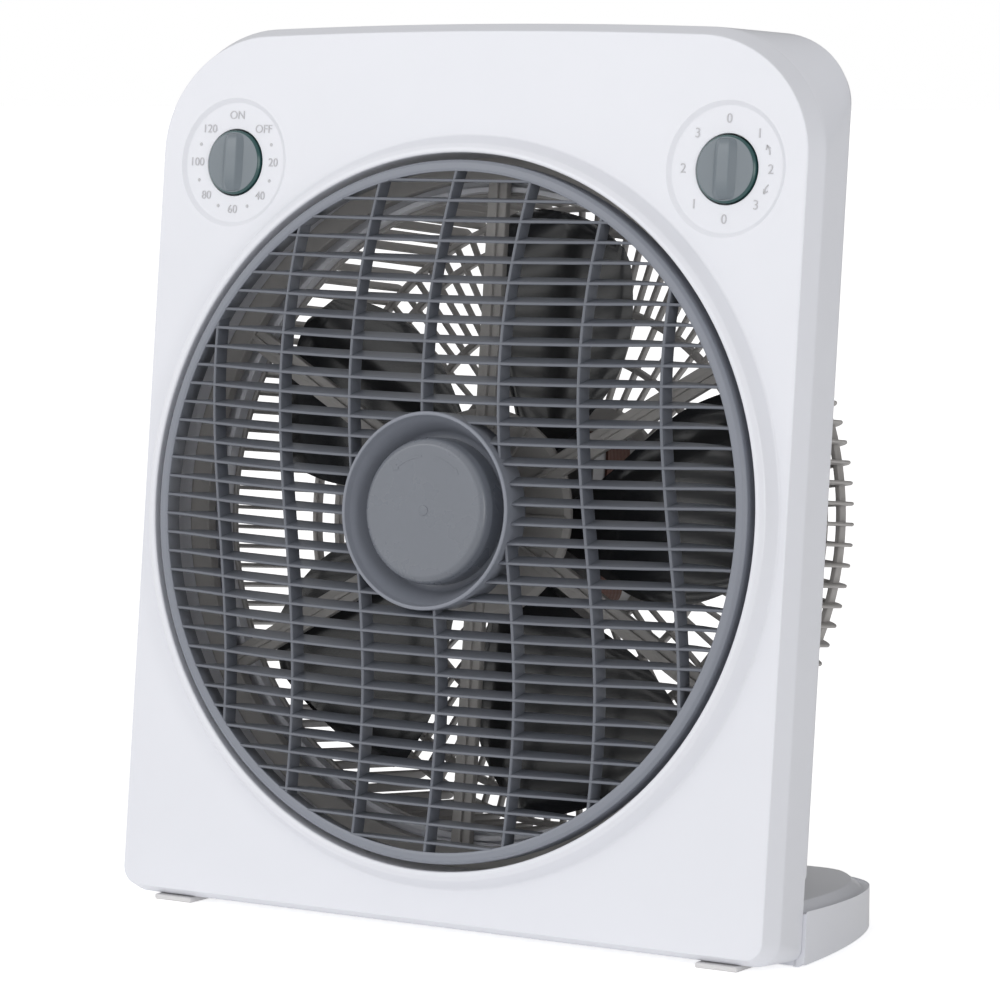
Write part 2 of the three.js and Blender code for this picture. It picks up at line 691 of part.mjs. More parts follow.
// A motor end bell: a square cup that opens towards the core, with a bearing seat in its end.
function endBell(outerEnd, openEnd) {
  const [from, to] = [Math.min(outerEnd, openEnd), Math.max(outerEnd, openEnd)];
  const inward = Math.sign(openEnd - outerEnd);
  const cavityEnd = outerEnd + inward * BELL_WALL;
  const cup = slab(roundedSquare(STATOR_HALF - 1, STATOR_CORNER), from, to, 3);
  const [low, high] = [Math.min(cavityEnd, openEnd + inward), Math.max(cavityEnd, openEnd + inward)];
  const seatEnd = outerEnd + inward * (BELL_WALL + BEARING_DEPTH / 2);
  const [seatLow, seatHigh] = [Math.min(outerEnd, seatEnd), Math.max(outerEnd, seatEnd)];
  const seat = BEARING_RADIUS + CLEARANCE;
  const bell = cup.subtract(rod(BELL_BORE, low, high, 24))
    .add(tube(seat, seat + BELL_WALL, seatLow, seatHigh, 16))
    .subtract(rod(seat, from - 1, to + 1, 16));
  return boltHoles(bell, from, to);
}

function bearing(outerEnd, inward) {
  const end = outerEnd + inward * BEARING_DEPTH;
  const [from, to] = [Math.min(outerEnd, end), Math.max(outerEnd, end)];
  return tube(SHAFT_RADIUS + 0.1, BEARING_RADIUS, from, to, 16);
}

function addMotor() {
  const windingFront = stator.front - CLEARANCE - WINDING_DEPTH;
  const windingBack = stator.back + CLEARANCE;
  const winding = (from) => tube(WINDING_INNER, WINDING_OUTER, from, from + WINDING_DEPTH, 24);
  add('stator_core', statorCore(), colours.core);
  add('front_winding', winding(windingFront), colours.copper);
  add('rear_winding', winding(windingBack), colours.copper);
  add('front_bell', endBell(bellFront, stator.front - CLEARANCE), colours.bell);
  add('rear_bell', endBell(bellBack, stator.back + CLEARANCE), colours.bell);
  add('front_bearing', bearing(bellFront + CLEARANCE, 1), colours.bronze);
  add('rear_bearing', bearing(bellBack - CLEARANCE, -1), colours.bronze);
  const rotorRadius = STATOR_BORE - AIR_GAP;
  const rotor = tube(SHAFT_RADIUS + CLEARANCE, rotorRadius, stator.front, stator.back, 24);
  add('rotor_core', rotor, colours.steel);
  add('motor_shaft', motorShaft(), colours.steel);
  const pin = new THREE.CylinderGeometry(PIN_RADIUS, PIN_RADIUS, PIN_LENGTH, 12);
  add('shaft_pin', toSolid(pin.rotateZ(Math.PI / 2).translate(0, pinPlace, 0)), colours.steel);
  boltPlaces().forEach(([x, z], i) => {
    const seat = bellFront - CLEARANCE;
    const head = rod(BOLT_HEAD_RADIUS, seat - BOLT_HEAD, seat, 6, x, z);
    const shank = rod(BOLT_RADIUS, seat - 1, GUARD_END + 4, 8, x, z);
    add(`motor_bolt_${i + 1}`, head.add(shank), colours.steel);
    const nutSeat = GUARD_END + CLEARANCE;
    const nut = tube(BOLT_RADIUS + CLEARANCE, BOLT_HEAD_RADIUS + 0.4, nutSeat, nutSeat + 3, 6, x, z);
    add(`motor_nut_${i + 1}`, nut, colours.steel);
  });
}

// ---- Rear guard ----

function earPlaces() {
  const reach = earPlace * Math.SQRT1_2;
  return [[reach, reach], [-reach, reach], [-reach, -reach], [reach, -reach]];
}

// The guard is made flat, as rings of slots round the motor plate, then folded into a cup:
// what lies beyond the fold becomes the cup's wall and runs forward to the flange.
function guardCup() {
  const foldRadius = GUARD_RADIUS - GUARD_BEND;
  const edge = GUARD_RADIUS + GUARD_END - GUARD_BEND - guardFront;
  const slots = (inner, outer) => round(FIN_COUNT, (angle) => {
    const step = Math.PI / FIN_COUNT;
    const corner = (radius, side) => {
      const thickness = FIN_THICKNESS / Math.min(radius, GUARD_RADIUS) / 2;
      const at = angle + step + side * (step - thickness);
      return new THREE.Vector2(radius * Math.cos(at), radius * Math.sin(at));
    };
    const outline = [corner(inner, -1), corner(outer, -1), corner(outer, 1), corner(inner, 1)];
    return slab(new THREE.Shape(outline), -1, GUARD_WALL + 1);
  });
  const holes = wasm.Manifold.union([
    ...slots(GUARD_RADIUS, edge - HOOP_WIDTH),
    ...slots(MOTOR_PLATE_RADIUS, foldRadius),
  ]);
  return reshaped(rod(edge, 0, GUARD_WALL, FIN_COUNT).subtract(holes), (point) => {
    const flat = Math.hypot(point.x, point.z);
    const inset = point.y;
    const onWall = flat > foldRadius + GUARD_BEND / 2;
    const scale = onWall ? (GUARD_RADIUS - inset) / flat : 1;
    const beyond = Math.max(flat - GUARD_RADIUS, 0);
    point.set(point.x * scale, GUARD_END - inset, point.z * scale);
    if (onWall) point.y = GUARD_END - GUARD_BEND - beyond;
  });
}

function rearGuard() {
  const inner = GUARD_RADIUS - GUARD_WALL / 2;
  const flangeBack = guardFront + GUARD_FLANGE;
  let guard = guardCup().add(tube(inner, GUARD_RADIUS + GUARD_FLANGE_OUT, guardFront, flangeBack, FIN_COUNT));
  earPlaces().forEach(([x, z]) => {
    const hole = SCREW_RADIUS + CLEARANCE;
    const strap = new THREE.BoxGeometry(earPlace - inner - 1, GUARD_FLANGE, 2 * EAR_RADIUS);
    strap.translate((earPlace + inner + 1) / 2, (guardFront + flangeBack) / 2, 0);
    guard = guard.add(toSolid(strap.rotateY(-Math.atan2(z, x))));
    guard = guard.add(rod(EAR_RADIUS, guardFront, flangeBack, 20, x, z));
    guard = guard.subtract(rod(hole, guardFront - 1, flangeBack + 1, 12, x, z));
  });
  return boltHoles(guard, plateFront, GUARD_END);
}

// ---- Stand ----

function standTop(y) {
  const share = (y - FRONT_DEPTH) / (STAND_BACK - FRONT_DEPTH);
  return THREE.MathUtils.lerp(STAND_HEIGHT_FRONT, STAND_HEIGHT_BACK, share);
}

// The stand's plan, drawn a given distance inside its widest outline.
function standRing(inset, heightAt) {
  const side = STAND_HALF_WIDTH - inset;
  const back = STAND_BACK - inset;
  const middle = STAND_MIDDLE_BACK - inset;
  const front = FRONT_DEPTH - 10 + inset;
  const lobe = STAND_LOBE_X;
  const plan = new THREE.Path();
  plan.moveTo(side, front);
  plan.bezierCurveTo(side - 1, front + 55, side - 13, back - 34, side - 28, back - 15);
  plan.bezierCurveTo(side - 36, back - 5, lobe + 12, back, lobe, back);
  plan.bezierCurveTo(lobe * 0.72, back, lobe * 0.5, middle, 0, middle);
  plan.bezierCurveTo(-lobe * 0.5, middle, -lobe * 0.72, back, -lobe, back);
  plan.bezierCurveTo(-lobe - 12, back, -side + 36, back - 5, -side + 28, back - 15);
  plan.bezierCurveTo(-side + 13, back - 34, -side + 1, front + 55, -side, front);
  return plan.getPoints(8).map((p) => new THREE.Vector3(p.x, p.y, heightAt(p.y)));
}

function inFloorAxes(solid) {
  const matrix = new THREE.Matrix4().makeRotationX(-LEAN).setPosition(body.position);
  return solid.transform([...matrix.elements]);
}

function standBase() {
  const outside = loft([
    standRing(STAND_LOW_BEVEL, () => STAND_EDGE),
    standRing(0, () => STAND_EDGE + STAND_LOW_BEVEL),
    standRing(0, (y) => standTop(y) - STAND_BEVEL),
    standRing(STAND_BEVEL, standTop),
  ]);
  const inside = loft([
    standRing(STAND_LOW_BEVEL + STAND_WALL, () => STAND_EDGE - 1),
    standRing(STAND_WALL, (y) => standTop(y) - STAND_BEVEL - STAND_WALL / 2),
    standRing(STAND_BEVEL + STAND_WALL / 2, (y) => standTop(y) - STAND_WALL),
  ]);
  let stand = outside.subtract(inside);
  const seam = FRONT_DEPTH + CLEARANCE;
  const lipLow = (seam + STAND_LIP_DEPTH) * tanLean + STAND_EDGE - PANEL_TO_FLOOR;
  const lipHeight = STAND_LIP_TOP - STAND_EDGE;
  const lipWidth = 2 * (BODY_HALF_WIDTH - REAR_INSET);
  const lip = block(0, seam + STAND_LIP_DEPTH / 2, lipLow + lipHeight / 2,
    lipWidth, STAND_LIP_DEPTH, lipHeight);
  stand = stand.add(inFloorAxes(lip));
  const ahead = block(0, seam - 50, -PANEL_TO_FLOOR, 500, 100, 200);
  stand = stand.subtract(inFloorAxes(ahead));
  [-REAR_FOOT_X, REAR_FOOT_X].forEach((x) => {
    const bottom = REAR_FOOT_HEIGHT + CLEARANCE;
    const top = standTop(REAR_FOOT_Y) - STAND_WALL / 2;
    const boss = block(x, REAR_FOOT_Y, (bottom + top) / 2, FOOT_WIDTH, FOOT_LENGTH, top - bottom);
    stand = stand.add(boss);
  });
  return stand;
}

function addFeet() {
  const foot = (x, y, height) => block(x, y, height / 2, FOOT_WIDTH, FOOT_LENGTH, height);
  const frontHeight = BODY_FOOT_GAP * Math.cos(LEAN) - CLEARANCE;
  add('front_foot_left', foot(-FRONT_FOOT_X, FRONT_FOOT_Y, frontHeight), colours.rubber, fan);
  add('front_foot_right', foot(FRONT_FOOT_X, FRONT_FOOT_Y, frontHeight), colours.rubber, fan);
  add('rear_foot_left', foot(-REAR_FOOT_X, REAR_FOOT_Y, REAR_FOOT_HEIGHT), colours.rubber, fan);
  add('rear_foot_right', foot(REAR_FOOT_X, REAR_FOOT_Y, REAR_FOOT_HEIGHT), colours.rubber, fan);
}

// ---- Electrical pieces and fixings ----

function cordGland() {
  const front = rearFace - WALL - CLEARANCE;
  const back = rearFace + CLEARANCE;
  const neck = GLAND_RADIUS - 3 * CLEARANCE;
  return turned([
    [GLAND_BORE, front - 3], [GLAND_RADIUS, front - 3], [GLAND_RADIUS, front], [neck, front],
    [neck, back], [GLAND_RADIUS + 1, back], [GLAND_RADIUS, back + GLAND_OUT],
    [GLAND_BORE, back + GLAND_OUT], [GLAND_BORE, front - 3],
  ], 24, GLAND_X, GLAND_Z);
}

function screw(x, z, seat) {
  const head = rod(SCREW_HEAD_RADIUS, seat, seat + SCREW_HEAD, 12, x, z);
  return head.add(rod(SCREW_RADIUS, rearFace - SCREW_LENGTH, seat + 1, 8, x, z));
}

function addFixings() {
  screwPlaces().forEach(([x, z], i) => {
    add(`case_screw_${i + 1}`, screw(x, z, rearFace + CLEARANCE), colours.steel);
  });
  earPlaces().forEach(([x, z], i) => {
    const seat = guardFront + GUARD_FLANGE + CLEARANCE;
    add(`guard_screw_${i + 1}`, screw(x, z, seat), colours.steel);
  });
}

// ---- Assembly ----

add('front_shell', frontShell(), colours.housing);
add('rear_shell', rearShell(), colours.housing);
add('stand_base', standBase(), colours.housing, fan);
addFeet();

add('rear_guard', rearGuard(), colours.guard);
add('grille_bracket', grilleBracket(), colours.duct);
add('swing_grille', swingGrille(), colours.grille);
add('grille_lock_cap', lockCap(), colours.grille);

const spindleBack = bracketDiscBack + CLEARANCE;
const spindleTip = capBack - CAP_THREAD_DEPTH + CLEARANCE;
const spindleHead = rod(SPINDLE_HEAD_RADIUS, spindleBack, spindleBack + SPINDLE_HEAD, 24);
const spindle = spindleHead.add(rod(SPINDLE_RADIUS, spindleTip, spindleBack + 1, 24));
add('grille_spindle', spindle, colours.steel);
const bushBore = SPINDLE_RADIUS + CLEARANCE;
add('grille_bush', tube(bushBore, bushOuter, hubFloor, HUB_TAIL, 24), colours.nylon);
const washer = tube(bushBore, WASHER_RADIUS, washerFront, washerFront + WASHER_THICKNESS, 24);
add('grille_washer', washer, colours.steel);

const controlMiddle = controlFront + CONTROL_LENGTH / 2;
const timer = rod(TIMER_RADIUS, controlFront, controlFront + CONTROL_LENGTH, 32, -DIAL_X, DIAL_Z);
const rotarySwitch = block(DIAL_X, controlMiddle, DIAL_Z,
  2 * SWITCH_HALF, CONTROL_LENGTH, 2 * SWITCH_HALF);
add('timer_knob', knob(-DIAL_X), colours.knob);
add('timer_shaft', knobShaft(-DIAL_X), colours.nylon);
add('timer_unit', timer, colours.electric);
add('speed_knob', knob(DIAL_X), colours.knob);
add('switch_shaft', knobShaft(DIAL_X), colours.nylon);
add('speed_switch', rotarySwitch, colours.electric);

add('impeller', impeller(), colours.blade);
const nutBack = nutFront + NUT_DEPTH;
add('impeller_nut', tube(SHAFT_RADIUS + CLEARANCE, NUT_RADIUS, nutFront, nutBack, 12), colours.blade);
addMotor();

const lowY = WALL + CLEARANCE;
const capacitor = block(LOW_PIECE_X, lowY + CAPACITOR.y / 2, LOW_PIECE_Z,
  CAPACITOR.x, CAPACITOR.y, CAPACITOR.z);
const terminals = block(-LOW_PIECE_X, lowY + TERMINAL_BLOCK.y / 2, LOW_PIECE_Z,
  TERMINAL_BLOCK.x, TERMINAL_BLOCK.y, TERMINAL_BLOCK.z);
add('run_capacitor', capacitor, colours.electric);
add('terminal_block', terminals, colours.nylon);
add('cord_gland', cordGland(), colours.electric);
addFixings();

// The origin is the middle of the footprint, on the floor.
fan.updateMatrixWorld(true);
const bounds = new THREE.Box3().setFromObject(fan, true);
const middle = bounds.getCenter(new THREE.Vector3());
fan.position.set(-middle.x, -middle.y, -bounds.min.z);
fan.updateMatrixWorld(true);

export default fan;
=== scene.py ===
"""The box fan's looks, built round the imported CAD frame.

Most pieces are laid out in panel axes, in millimetres: the origin is the middle of the grille on
the front panel's plane, X is to the right, Y runs back into the body and Z runs up the panel.
The stand and the feet are laid out in floor axes, in millimetres.
"""

import json
import math

import bmesh
import bpy
from mathutils import Matrix, Vector


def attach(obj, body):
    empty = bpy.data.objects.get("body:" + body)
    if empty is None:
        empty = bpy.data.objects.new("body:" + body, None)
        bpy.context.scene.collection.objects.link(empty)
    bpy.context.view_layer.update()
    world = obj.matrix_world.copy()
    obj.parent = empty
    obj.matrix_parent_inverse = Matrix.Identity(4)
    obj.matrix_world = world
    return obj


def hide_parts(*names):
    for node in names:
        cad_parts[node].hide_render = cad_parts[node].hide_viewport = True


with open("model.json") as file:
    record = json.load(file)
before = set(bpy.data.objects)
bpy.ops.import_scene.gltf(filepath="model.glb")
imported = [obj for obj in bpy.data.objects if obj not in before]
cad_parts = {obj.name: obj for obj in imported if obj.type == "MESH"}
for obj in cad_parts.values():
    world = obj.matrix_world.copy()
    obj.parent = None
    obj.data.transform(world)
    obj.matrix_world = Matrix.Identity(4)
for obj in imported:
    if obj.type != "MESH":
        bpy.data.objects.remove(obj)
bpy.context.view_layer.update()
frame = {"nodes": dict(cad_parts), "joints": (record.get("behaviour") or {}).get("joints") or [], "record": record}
scene = bpy.context.scene

# ---- Axes ----

MM = 0.001
joints = {joint["name"]: joint for joint in frame["joints"]}
origin = Vector(joints["grille_spin"]["pos_m"])
outward = Vector(joints["grille_spin"]["axis"]).normalized()
lean = math.asin(outward.z)
across = Vector((1, 0, 0))
inward = -outward
up_panel = across.cross(inward)


def axes_matrix(x_axis, y_axis, z_axis, place):
    """A matrix from local millimetres to metres in the row frame."""
    columns = Matrix((x_axis, y_axis, z_axis)).transposed().to_4x4()
    return Matrix.Translation(place) @ columns @ Matrix.Scale(MM, 4)


PANEL = axes_matrix(across, inward, up_panel, origin)
PANEL_TO_FLOOR = 200
foot_line = origin - up_panel * PANEL_TO_FLOOR * MM
FLOOR = axes_matrix(across, Vector((0, 1, 0)), Vector((0, 0, 1)), foot_line)


def extent(node, axes=PANEL):
    """Lowest and highest corner of a CAD node in local millimetres."""
    back = axes.inverted()
    points = [back @ vertex.co for vertex in frame["nodes"][node].data.vertices]
    low = Vector([min(p[i] for p in points) for i in range(3)])
    high = Vector([max(p[i] for p in points) for i in range(3)])
    return low, high


# ---- Sizes, in millimetres ----

shell_low, shell_high = extent("front_shell")
rear_low, rear_high = extent("rear_shell")
grille_low, grille_high = extent("swing_grille")
cap_low, cap_high = extent("grille_lock_cap")
bracket_low, _ = extent("grille_bracket")
nut_low, nut_high = extent("impeller_nut")
guard_low, guard_high = extent("rear_guard")
knob_low, knob_high = extent("timer_knob")

# Body. A depth is measured back from the front panel's plane.
HALF_WIDTH = shell_high.x
BODY_TOP = shell_high.z
FRONT_DEPTH = shell_high.y
WALL = 2.6
FOOT_GAP = 3
CROWN_DROP = 4.5
TOP_CORNER = 62
TOP_CORNER_BACK = 36
BOTTOM_CORNER = 13
BOTTOM_CORNER_BACK = 6
BEVEL_IN = 4.5
BEVEL_BACK = 9
CREASE_REACH = 1.2
REAR_INSET = 2.2
REAR_LEDGE_RADIUS = 153

CROWN_STEPS = 24
TOP_STEPS = 20
BOTTOM_STEPS = 10

# Ring, opening and collar.
RING_RADIUS = grille_high.x
RING_FACE = 5.6
RING_FRONT = -9.4
RING_BACK = 3
OPENING = RING_RADIUS + 3.4
COLLAR_RADIUS = 178.8
COLLAR_RISE = -shell_low.y
DUCT_END = 22
DUCT_OUTER = OPENING + WALL

# Dials.
DIAL_X = (knob_low.x + knob_high.x) / -2
DIAL_Z = (knob_low.z + knob_high.z) / 2
KNOB_RADIUS = (knob_high.x - knob_low.x) / 2
DISH_RADIUS = 31.3
DISH_DEPTH = 1.4
DISH_SLOPE = 2.2
WELL_DEPTH = 9
WELL_RADIUS = KNOB_RADIUS + 0.7
GRIP_PROUD = 2.4
GRIP_HALF = 3.1
MARK_RADIUS = 22.9
MARK_HEIGHT = 4.2
NUMBER_HEIGHT = 4.6
MARK_STEP = math.tau / 8
MARK_RELIEF = 0.35

# Swinging grille.
LATTICE_FRONT = -8.5
LATTICE_DEPTH = 9
LATTICE_INNER = RING_RADIUS - RING_FACE
LATTICE_END = RING_RADIUS - 2.6
DOME_RISE = 11.4
LOUVRE_PITCH = 9.12
LOUVRE_TILT = math.radians(20)
BAR_COUNT = 7
BAR_PITCH = 42.2
BAR_WAVE = 9
BAR_WAVE_LENGTH = 172
LOUVRE_STEP = 7
BAR_STEP = 6
HUB_RADIUS = 46.4
HUB_FRONT = grille_low.y
HUB_FLOOR = HUB_FRONT + 16
HUB_TAIL = grille_high.y
HUB_STOP = HUB_RADIUS - 1.4
HUB_REACH = 70
HUB_BORE = 6.6
CAP_RADIUS = cap_high.x
SHAFT_BORE = 4.3

# Impeller.
BLADE_COUNT = 5
BLADE_TIP = 147
BLADE_MIDDLE = 50
BLADE_TURN = math.radians(3)
WHEEL_RADIUS = 32
WHEEL_FRONT = 40
WHEEL_BACK = 55

# Rear guard.
GUARD_RADIUS = 157
GUARD_BACK = guard_high.y
GUARD_FRONT = guard_low.y
FIN_COUNT = 100
FIN_THICKNESS = 1.8
FIN_DEPTH = 5
FIN_BEND = 5
SHORT_FIN_END = 104
PLATE_RADIUS = 58

# Stand. Its plan is a straight front, two rounded lobes and a dip between them.
STAND_FRONT = FRONT_DEPTH
STAND_BACK = 156
STAND_HALF = 187
STAND_LOBE = 128
STAND_MIDDLE = 120
STAND_TOP_FRONT = 30
STAND_TOP_BACK = 23
STAND_SEAM = FRONT_DEPTH + 0.3
LIP_TOP = 36


# ---- Camera ----

VIEW_AZIMUTH = math.radians(33.14)
VIEW_ELEVATION = math.radians(5.52)
VIEW_DISTANCE = 2.0596
LENS = 159.0
SENSOR_WIDTH = 36
CLIP_END = 100
AIM = Vector((27.35, 0, 7.0))


def add_camera():
    back = Vector((
        math.sin(VIEW_AZIMUTH) * math.cos(VIEW_ELEVATION),
        -math.cos(VIEW_AZIMUTH) * math.cos(VIEW_ELEVATION),
        math.sin(VIEW_ELEVATION),
    ))
    data = bpy.data.cameras.new("camera")
    data.lens = LENS
    data.sensor_width = SENSOR_WIDTH
    data.clip_end = CLIP_END
    camera = bpy.data.objects.new("camera", data)
    scene.collection.objects.link(camera)
    camera.location = PANEL @ AIM + back * VIEW_DISTANCE
    camera.rotation_euler = back.to_track_quat("Z", "Y").to_euler()
    scene.camera = camera


add_camera()


# ---- Materials ----

# Scales are in cycles per metre, depths in metres.
DRIFT_SCALE = 14
GLOSS_SCALE = 60
GRAIN_SCALE = 1800
STREAK_SCALE = 400
STREAK_DEPTH = 0.00003
WOUND_SCALE = 90
SINK_DEPTH = 0.0002


LOOKS = {}


def shader_nodes(name):
    """A new material, kept in LOOKS by its name, with its nodes, links and shader."""
    material = bpy.data.materials.new(name)
    LOOKS[name] = material
    material.use_nodes = True
    nodes = material.node_tree.nodes
    return material, nodes, material.node_tree.links, nodes["Principled BSDF"]


def noise(nodes, links, scale, detail=3.0, stretch=(1, 1, 1)):
    """A noise texture in object space, in cycles per metre."""
    place = nodes.new("ShaderNodeTexCoord")
    mapping = nodes.new("ShaderNodeMapping")
    mapping.inputs["Scale"].default_value = stretch
    texture = nodes.new("ShaderNodeTexNoise")
    texture.inputs["Scale"].default_value = scale
    texture.inputs["Detail"].default_value = detail
    links.new(place.outputs["Object"], mapping.inputs["Vector"])
    links.new(mapping.outputs["Vector"], texture.inputs["Vector"])
    return texture.outputs["Fac"]


def tint(nodes, links, value, colour, spread):
    """A colour that drifts a little either side of its middle value."""
    ramp = nodes.new("ShaderNodeValToRGB")
    ramp.color_ramp.elements[0].position = 0.3
    ramp.color_ramp.elements[1].position = 0.7
    ramp.color_ramp.elements[0].color = [c * (1 - spread) for c in colour] + [1]
    ramp.color_ramp.elements[1].color = [min(1, c * (1 + spread)) for c in colour] + [1]
    links.new(value, ramp.inputs["Fac"])
    return ramp.outputs["Color"]


def spread_value(nodes, links, value, middle, spread):
    ranged = nodes.new("ShaderNodeMapRange")
    ranged.inputs["To Min"].default_value = max(0, middle - spread)
    ranged.inputs["To Max"].default_value = min(1, middle + spread)
    links.new(value, ranged.inputs["Value"])
    return ranged.outputs["Result"]


def bump(nodes, links, value, distance, strength=1.0, below=None):
    relief = nodes.new("ShaderNodeBump")
    relief.inputs["Strength"].default_value = strength
    relief.inputs["Distance"].default_value = distance
    links.new(value, relief.inputs["Height"])
    if below is not None:
        links.new(below, relief.inputs["Normal"])
    return relief.outputs["Normal"]


def plastic(name, colour, roughness, coat=0.0, grain=0.00002, spread=0.02):
    """Moulded plastic: slow drift in colour and gloss, gentle sink marks and a fine grain."""
    material, nodes, links, shader = shader_nodes(name)
    drift = noise(nodes, links, DRIFT_SCALE)
    fine = noise(nodes, links, GRAIN_SCALE, 2)
    links.new(tint(nodes, links, drift, colour, spread), shader.inputs["Base Color"])
    gloss = noise(nodes, links, GLOSS_SCALE, 4)
    links.new(spread_value(nodes, links, gloss, roughness, 0.05), shader.inputs["Roughness"])
    waves = bump(nodes, links, drift, SINK_DEPTH, 0.35)
    links.new(bump(nodes, links, fine, grain, 0.5, waves), shader.inputs["Normal"])
    shader.inputs["Coat Weight"].default_value = coat
    shader.inputs["Coat Roughness"].default_value = 0.12
    return material


def metal(name, colour, roughness, metallic, stretch=(1, 1, 1)):
    """Worked metal: streaks of colour and gloss along the direction it was made in."""
    material, nodes, links, shader = shader_nodes(name)
    streaks = noise(nodes, links, STREAK_SCALE, 5, stretch)
    links.new(tint(nodes, links, streaks, colour, 0.08), shader.inputs["Base Color"])
    shader.inputs["Metallic"].default_value = metallic
    links.new(spread_value(nodes, links, streaks, roughness, 0.1), shader.inputs["Roughness"])
    links.new(bump(nodes, links, streaks, STREAK_DEPTH, 0.6), shader.inputs["Normal"])
    return material


def banded(name, colour, roughness, metallic, period):
    """Stacked sheets or wound wire: fine ridges every period metres along the shaft."""
    material, nodes, links, shader = shader_nodes(name)
    place = nodes.new("ShaderNodeTexCoord")
    mapping = nodes.new("ShaderNodeMapping")
    mapping.inputs["Rotation"].default_value = (-lean, 0, 0)
    wave = nodes.new("ShaderNodeTexWave")
    wave.bands_direction = "Y"
    wave.inputs["Scale"].default_value = 1 / period / math.tau * math.pi / 10
    wave.inputs["Distortion"].default_value = 0.4
    links.new(place.outputs["Object"], mapping.inputs["Vector"])
    links.new(mapping.outputs["Vector"], wave.inputs["Vector"])
    drift = noise(nodes, links, WOUND_SCALE, 4)
    links.new(tint(nodes, links, drift, colour, 0.15), shader.inputs["Base Color"])
    shader.inputs["Metallic"].default_value = metallic
    links.new(spread_value(nodes, links, drift, roughness, 0.08), shader.inputs["Roughness"])
    links.new(bump(nodes, links, wave.outputs["Fac"], period / 3, 0.8), shader.inputs["Normal"])
    return material


plastic("housing_white", (0.78, 0.79, 0.84), 0.34, coat=0.25, spread=0.008)
# mark_grey is painted shade: the raised marks are white like the housing, and this grey stands in for the shade
# along their edges.
plastic("mark_grey", (0.55, 0.55, 0.57), 0.5)
# guard_grey is partly the guard's own light grey and partly painted shade: it is darkened and warmed towards the
# taupe the fins show in the shade inside the body.
plastic("guard_grey", (0.42, 0.405, 0.395), 0.42, spread=0.03)
# bracket_white is painted shade: the bracket is white plastic, and this dark warm grey stands in for the shade it
# sits in deep in the duct.
plastic("bracket_white", (0.43, 0.415, 0.40), 0.45, spread=0.03)
plastic("grille_grey", (0.145, 0.156, 0.184), 0.34, spread=0.04)
plastic("ring_grey", (0.225, 0.24, 0.28), 0.36, spread=0.03)
plastic("cap_grey", (0.165, 0.178, 0.206), 0.28, coat=0.15, spread=0.03)
plastic("knob_grey", (0.155, 0.185, 0.21), 0.3, coat=0.3, spread=0.03)
plastic("knob_rim", (0.02, 0.075, 0.075), 0.3, coat=0.3, spread=0.05)
plastic("impeller_black", (0.017, 0.018, 0.02), 0.16, coat=0.5)
banded("stator_core", (0.13, 0.06, 0.045), 0.5, 0.4, 0.0005)
metal("motor_bell", (0.36, 0.36, 0.37), 0.42, 0.85, (1, 0.1, 1))
banded("winding_copper", (0.42, 0.15, 0.05), 0.35, 0.8, 0.0006)
metal("bearing_bronze", (0.35, 0.23, 0.10), 0.45, 0.9)
plastic("foot_rubber", (0.70, 0.69, 0.69), 0.75, grain=0.00006, spread=0.04)
plastic("nylon_white", (0.75, 0.73, 0.66), 0.5, spread=0.03)
plastic("electric_black", (0.02, 0.021, 0.023), 0.5, grain=0.00004)
metal("steel_parts", (0.50, 0.51, 0.53), 0.3, 1.0, (0.2, 1, 0.2))


def dress_frame():
    """Gives every CAD node that stays in view its procedural material."""
    slots = {row["node"]: row["material_slot"] for row in frame["record"]["subparts"]}
    for name, node in frame["nodes"].items():
        node.data.materials.clear()
        node.data.materials.append(LOOKS[slots[name]])


# ---- Mesh helpers ----

def to_object(bm, name, axes):
    """A bmesh in local millimetres as an object in metres."""
    bmesh.ops.recalc_face_normals(bm, faces=bm.faces)
    bm.transform(axes)
    mesh = bpy.data.meshes.new(name)
    bm.to_mesh(mesh)
    bm.free()
    return bpy.data.objects.new(name, mesh)


def finish_piece(bm, name, body, slot, replaces=(), axes=PANEL, looks=(), sharp=32):
    """A smooth-shaded piece on a body, in the named looks or, if none is named, the slot's."""
    piece = to_object(bm, name, axes)
    scene.collection.objects.link(piece)
    piece.data.shade_smooth()
    piece.data.set_sharp_from_angle(angle=math.radians(sharp))
    for look in looks or [slot]:
        piece.data.materials.append(LOOKS[look])
    weighted = piece.modifiers.new("weighted", "WEIGHTED_NORMAL")
    weighted.keep_sharp = True
    weighted.weight = 100
    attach(piece, body)
    if replaces:
        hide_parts(*replaces)
    return piece


def rounded(corners, closed=False, steps=5):
    """A profile through (u, v, radius) corners, each turned into an arc of its radius."""
    points = []
    count = len(corners)
    for i, (u, v, radius) in enumerate(corners):
        here = Vector((u, v))
        at_end = not closed and i in (0, count - 1)
        if radius == 0 or at_end:
            points.append(here)
            continue
        before = Vector(corners[i - 1][:2]) - here
        after = Vector(corners[(i + 1) % count][:2]) - here
        half = before.angle(after) / 2
        reach = min(radius / math.tan(half), 0.48 * before.length, 0.48 * after.length)
        start = here + before.normalized() * reach
        end = here + after.normalized() * reach
        pull = math.sin(half)
        for k in range(steps + 1):
            t = k / steps
            weights = (1 - t) ** 2, 2 * pull * t * (1 - t), t ** 2
            total = start * weights[0] + here * weights[1] + end * weights[2]
            points.append(total / sum(weights))
    return points


def ring_of(bm, radius, y, segments, x=0, z=0):
    return [
        bm.verts.new((
            x + radius * math.cos(math.tau * k / segments), y,
            z + radius * math.sin(math.tau * k / segments),
        ))
        for k in range(segments)
    ]


def bridge(bm, low, high, closed=True):
    """Quads, or triangles at a pole, between two rings of vertices."""
    span = max(len(low), len(high))
    for k in range(span if closed else span - 1):
        n = (k + 1) % span
        if len(low) == 1:
            corners = (low[0], high[n], high[k])
        elif len(high) == 1:
            corners = (low[k], low[n], high[0])
        else:
            corners = (low[k], low[n], high[n], high[k])
        bm.faces.new(corners)


